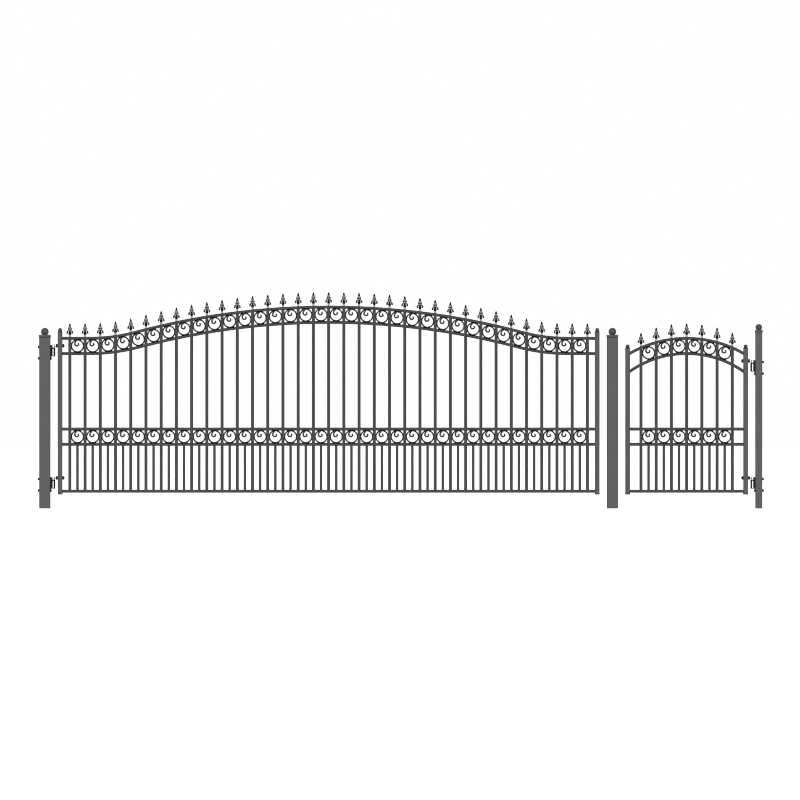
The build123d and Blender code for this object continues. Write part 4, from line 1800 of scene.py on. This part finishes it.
@dataclass
class Welds:
    """Beads where the tubes and heads of a leaf are joined, and weld saddles where its rings touch tubes, painted
    near-black as painted shade at the contacts.

    picket, short_picket and socket are the widths of the joints that the beads run across.
    """

    shop: Workshop
    plan: LeafPlan
    ring_radius: float = 0.0589
    ring_depth: float = 0.0136
    tube_face: float = 0.056
    lap: float = 0.0062
    low_lap: float = 0.0075
    shoulder: float = -0.25
    proud: float = 0.0006
    side_reach: float = 0.0235
    rail_reach: float = 0.0325
    ring_wall: float = 0.0045
    end_bead: float = 0.005
    joint_bead: float = 0.0036
    picket: float = 0.025
    short_picket: float = 0.02
    socket: float = 0.023

    def build(self) -> None:
        """Lay every bead of the leaf."""
        plan, tubes, ornament = self.plan, Bench(), Bench()
        self.rail_ends(tubes)
        self.picket_joints(tubes)
        self.ring_joints(ornament)
        self.shop.hand_over_leaf(tubes, plan, "tube_welds", FinishRack.PICKET)
        # ring saddles, near-black as painted shade
        self.shop.hand_over_leaf(ornament, plan, "ring_welds_painted_shade", FinishRack.RING_WELD_SHADE)

    def rail_ends(self, bench: Bench) -> None:
        """Lay a frame of beads round each end of each rail.

        Args:
            bench: The bench that collects the beads.
        """
        plan = self.plan
        lines = [(line, side * plan.half_band) for line in (plan.top_line, plan.mid_line) for side in (1, -1)]
        lines.append((BandLine(plan.bottom), 0.0))
        for x, inward in zip(plan.faces, (1, -1)):
            at = x + inward * (0.0008 + (plan.stile_coated - plan.stile) / 2)
            for line, offset in lines:
                middle = line.height(x, offset)
                for side in (1, -1):
                    upright = Matrix.Translation((at, side * plan.rail_depth / 2, middle))
                    bench.bead(plan.rail + 0.002, self.end_bead, upright @ Matrix.Rotation(pi / 2, 4, "Y"))
                    across = Matrix.Translation((at, 0, line.height(x, offset + side * plan.rail / 2)))
                    bench.bead(plan.rail_depth + 0.002, self.end_bead, across @ Matrix.Rotation(pi / 2, 4, "Z"))

    def picket_joints(self, bench: Bench) -> None:
        """Lay a bead at the front and back of each picket wherever it meets a rail.

        Args:
            bench: The bench that collects the beads.
        """
        plan = self.plan
        rows = [(x, self.picket, plan.picket_foot) for x in plan.columns]
        rows += [(x, self.short_picket, plan.picket_foot) for x in plan.bays]
        rows += [(x, self.short_picket, plan.mid_line.height(x, -plan.crest)) for x in plan.bays]
        for x in plan.columns:
            for line in (plan.mid_line, plan.top_line):
                for side in (-1, 1):
                    rows.append((x, self.picket, line.height(x, side * plan.half_band - plan.rail / 2)))
            rows.append((x, self.socket, plan.top_line.height(x, plan.crest)))
        for x, width, z in rows:
            line = plan.top_line if z > 1.0 else plan.mid_line
            turn = Matrix.Rotation(-line.tilt(x), 4, "Y")
            for side in (1, -1):
                bench.bead(width, self.joint_bead, Matrix.Translation((x, side * width / 2, z)) @ turn)

    def ring_joints(self, bench: Bench) -> None:
        """Lay a saddle at each place where a ring touches a picket or a rail; its near-black paint is painted shade.

        Args:
            bench: The bench that collects the saddles.
        """
        plan = self.plan
        at_picket = self.saddle_shape(self.side_reach, self.picket, self.lap)
        above = self.saddle_shape(self.rail_reach, plan.rail_depth, self.lap)
        below = self.saddle_shape(self.rail_reach, plan.rail_depth, self.low_lap)
        for line in (plan.top_line, plan.mid_line):
            for x in plan.bays:
                middle, tilt = Matrix.Translation((x, 0, line.height(x))), line.tilt(x)
                for way, pattern in (
                    (0.0, at_picket), (pi, at_picket), (pi / 2 + tilt, above), (-pi / 2 + tilt, below),
                ):
                    bench.take(pattern, middle @ Matrix.Rotation(-way, 4, "Y"))

    def saddle_shape(self, reach: float, tube_depth: float, lap: float) -> Bench:
        """Make the joint where a tube touches the ring's +X side: it fills both wedges and laps over the tube.

        Args:
            reach: How far the joint runs to each side.
            tube_depth: Depth of the tube that the ring touches.
            lap: How far it laps over the tube's front and back.

        Returns:
            The bench that holds it.
        """
        bench = Bench()
        bmesh.ops.create_grid(bench.bm, x_segments=2, y_segments=1, size=0.5)
        flare = (tube_depth + 2 * self.proud) / self.ring_depth
        for vert in bench.bm.verts:
            if vert.co.x > -0.25:
                vert.co.y *= flare
            if abs(vert.co.x) < 0.25:
                vert.co.x = self.shoulder
        stations = []
        for i in range(9):
            z = reach * (2 * i / 8 - 1)
            inner = sqrt((self.ring_radius - self.ring_wall) ** 2 - z**2)
            outer = self.tube_face + lap * (1.0 - 0.7 * abs(z / reach) ** 4)
            place = Matrix.Translation(((inner + outer) / 2, 0, z))
            stations.append(place @ Matrix.Diagonal((outer - inner, self.ring_depth, 1, 1)))
        bench.draw(list(bench.bm.faces), stations)
        bench.soften(0.0006, 40.0, 1)
        return bench


# --------------------------------------------------------------------------- studio


@dataclass
class Studio:
    """A plain pale floor, soft light and a long lens that looks straight at the gate."""

    centre: tuple[float, float] = (3.1963, 0.9756)
    frame_width: float = 7.2
    distance: float = 180.0
    floor_size: float = 500.0
    ambient: float = 0.34
    key: float = 1.69
    fill: float = 0.3
    back: float = 1.5
    pixel_filter: float = 1.0
    sensor: float = 36.0
    sight: float = 1000.0
    floor_grey: float = 0.6
    floor_glow: float = 0.68

    def build(self) -> None:
        """Set the camera, the lamps, the world and the floor, and keep thin bars crisp."""
        scene = bpy.context.scene
        scene.view_settings.view_transform = "Standard"
        scene.cycles.filter_width = self.pixel_filter
        self.camera(scene)
        self.lamp("key_light", self.key, pitch=76, yaw=-5, spread=26)
        self.lamp("fill_light", self.fill, pitch=70, yaw=35, spread=60)
        self.lamp("back_light", self.back, pitch=-48, yaw=25, spread=60)
        self.world(scene)
        self.floor()

    def camera(self, scene: bpy.types.Scene) -> None:
        """Stand the camera in front of the gate.

        Args:
            scene: The scene that looks through it.
        """
        lens = bpy.data.cameras.new("front_camera")
        lens.sensor_width = self.sensor
        lens.lens = self.sensor * self.distance / self.frame_width
        lens.clip_end = self.sight
        camera = bpy.data.objects.new("front_camera", lens)
        camera.location = (self.centre[0], -self.distance, self.centre[1])
        camera.rotation_euler = (pi / 2, 0, 0)
        scene.collection.objects.link(camera)
        scene.camera = camera

    def lamp(self, name: str, strength: float, pitch: float, yaw: float, spread: float) -> None:
        """Hang one broad lamp.

        Args:
            name: Its name.
            strength: Its strength.
            pitch: How far it is tipped up from straight down, in degrees.
            yaw: How far it is turned about +Z, in degrees.
            spread: Its angular size in degrees.
        """
        light = bpy.data.lights.new(name, "SUN")
        light.energy = strength
        light.angle = radians(spread)
        lamp = bpy.data.objects.new(name, light)
        lamp.rotation_euler = (radians(pitch), 0, radians(yaw))
        bpy.context.scene.collection.objects.link(lamp)

    def background_ray(self, board: NodeBoard) -> bpy.types.NodeSocket:
        """Find the rays that see the background as white: straight, mirrored or through something clear.

        Args:
            board: The tree that gets the nodes.

        Returns:
            A socket that is 1 for such a ray.
        """
        path = board.node("LightPath").outputs
        mirrored = board.math("MAXIMUM", path["Is Glossy Ray"], path["Is Transmission Ray"])
        return board.math("MAXIMUM", path["Is Camera Ray"], mirrored)

    def world(self, scene: bpy.types.Scene) -> None:
        """Fill the world with even light, white to the rays that see it as the background.

        Args:
            scene: The scene that gets the world.
        """
        world = bpy.data.worlds.new("studio")
        world.use_nodes = True
        board = NodeBoard(world.node_tree)
        seen = self.background_ray(board)
        strength = board.spread(seen, 0.0, 1.0, self.ambient, 1.0)
        ground = board.node("Background", None, Color=(1.0, 1.0, 1.0), Strength=strength)
        board.node("OutputWorld", None, Surface=ground.outputs[0])
        scene.world = world

    def floor(self) -> None:
        """Lay the floor: white to the rays that see it as the background, with the gate's soft shadow on it."""
        bench = Bench()
        bmesh.ops.create_grid(bench.bm, x_segments=1, y_segments=1, size=self.floor_size / 2)
        mesh = bpy.data.meshes.new("studio_floor")
        bench.bm.to_mesh(mesh)
        bench.bm.free()
        floor = bpy.data.objects.new("studio_floor", mesh)
        bpy.context.scene.collection.objects.link(floor)
        material = bpy.data.materials.new("studio_floor_white")
        material.use_nodes = True
        board = NodeBoard(material.node_tree)
        shader = board.node("BsdfPrincipled", None, Base_Color=(self.floor_grey,) * 3, Roughness=0.9)
        shader.inputs["Specular IOR Level"].default_value = 0.0
        seen = self.background_ray(board)
        board.feed(shader.inputs["Emission Color"], (1.0, 1.0, 1.0))
        board.feed(shader.inputs["Emission Strength"], board.math("MULTIPLY", seen, self.floor_glow))
        board.node("OutputMaterial", None, Surface=shader.outputs[0])
        mesh.materials.append(material)


def main() -> None:
    """Build the gate over its frame and report each piece."""
    logging.basicConfig(level=logging.INFO, format="%(name)s: %(message)s")
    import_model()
    Studio().build()
    shop = Workshop(FinishRack())
    GatePosts(shop).build()
    for plan in (DRIVE, SIDE):
        for maker in (Stiles, Rails, Pickets, RingBand, SpearHeads, HingeRods, Welds):
            maker(shop, plan).build()
    HingeBrackets(shop, (DRIVE, SIDE)).build()
    log.info("%d pieces built", len(shop.pieces))


if __name__ == "__main__":
    main()
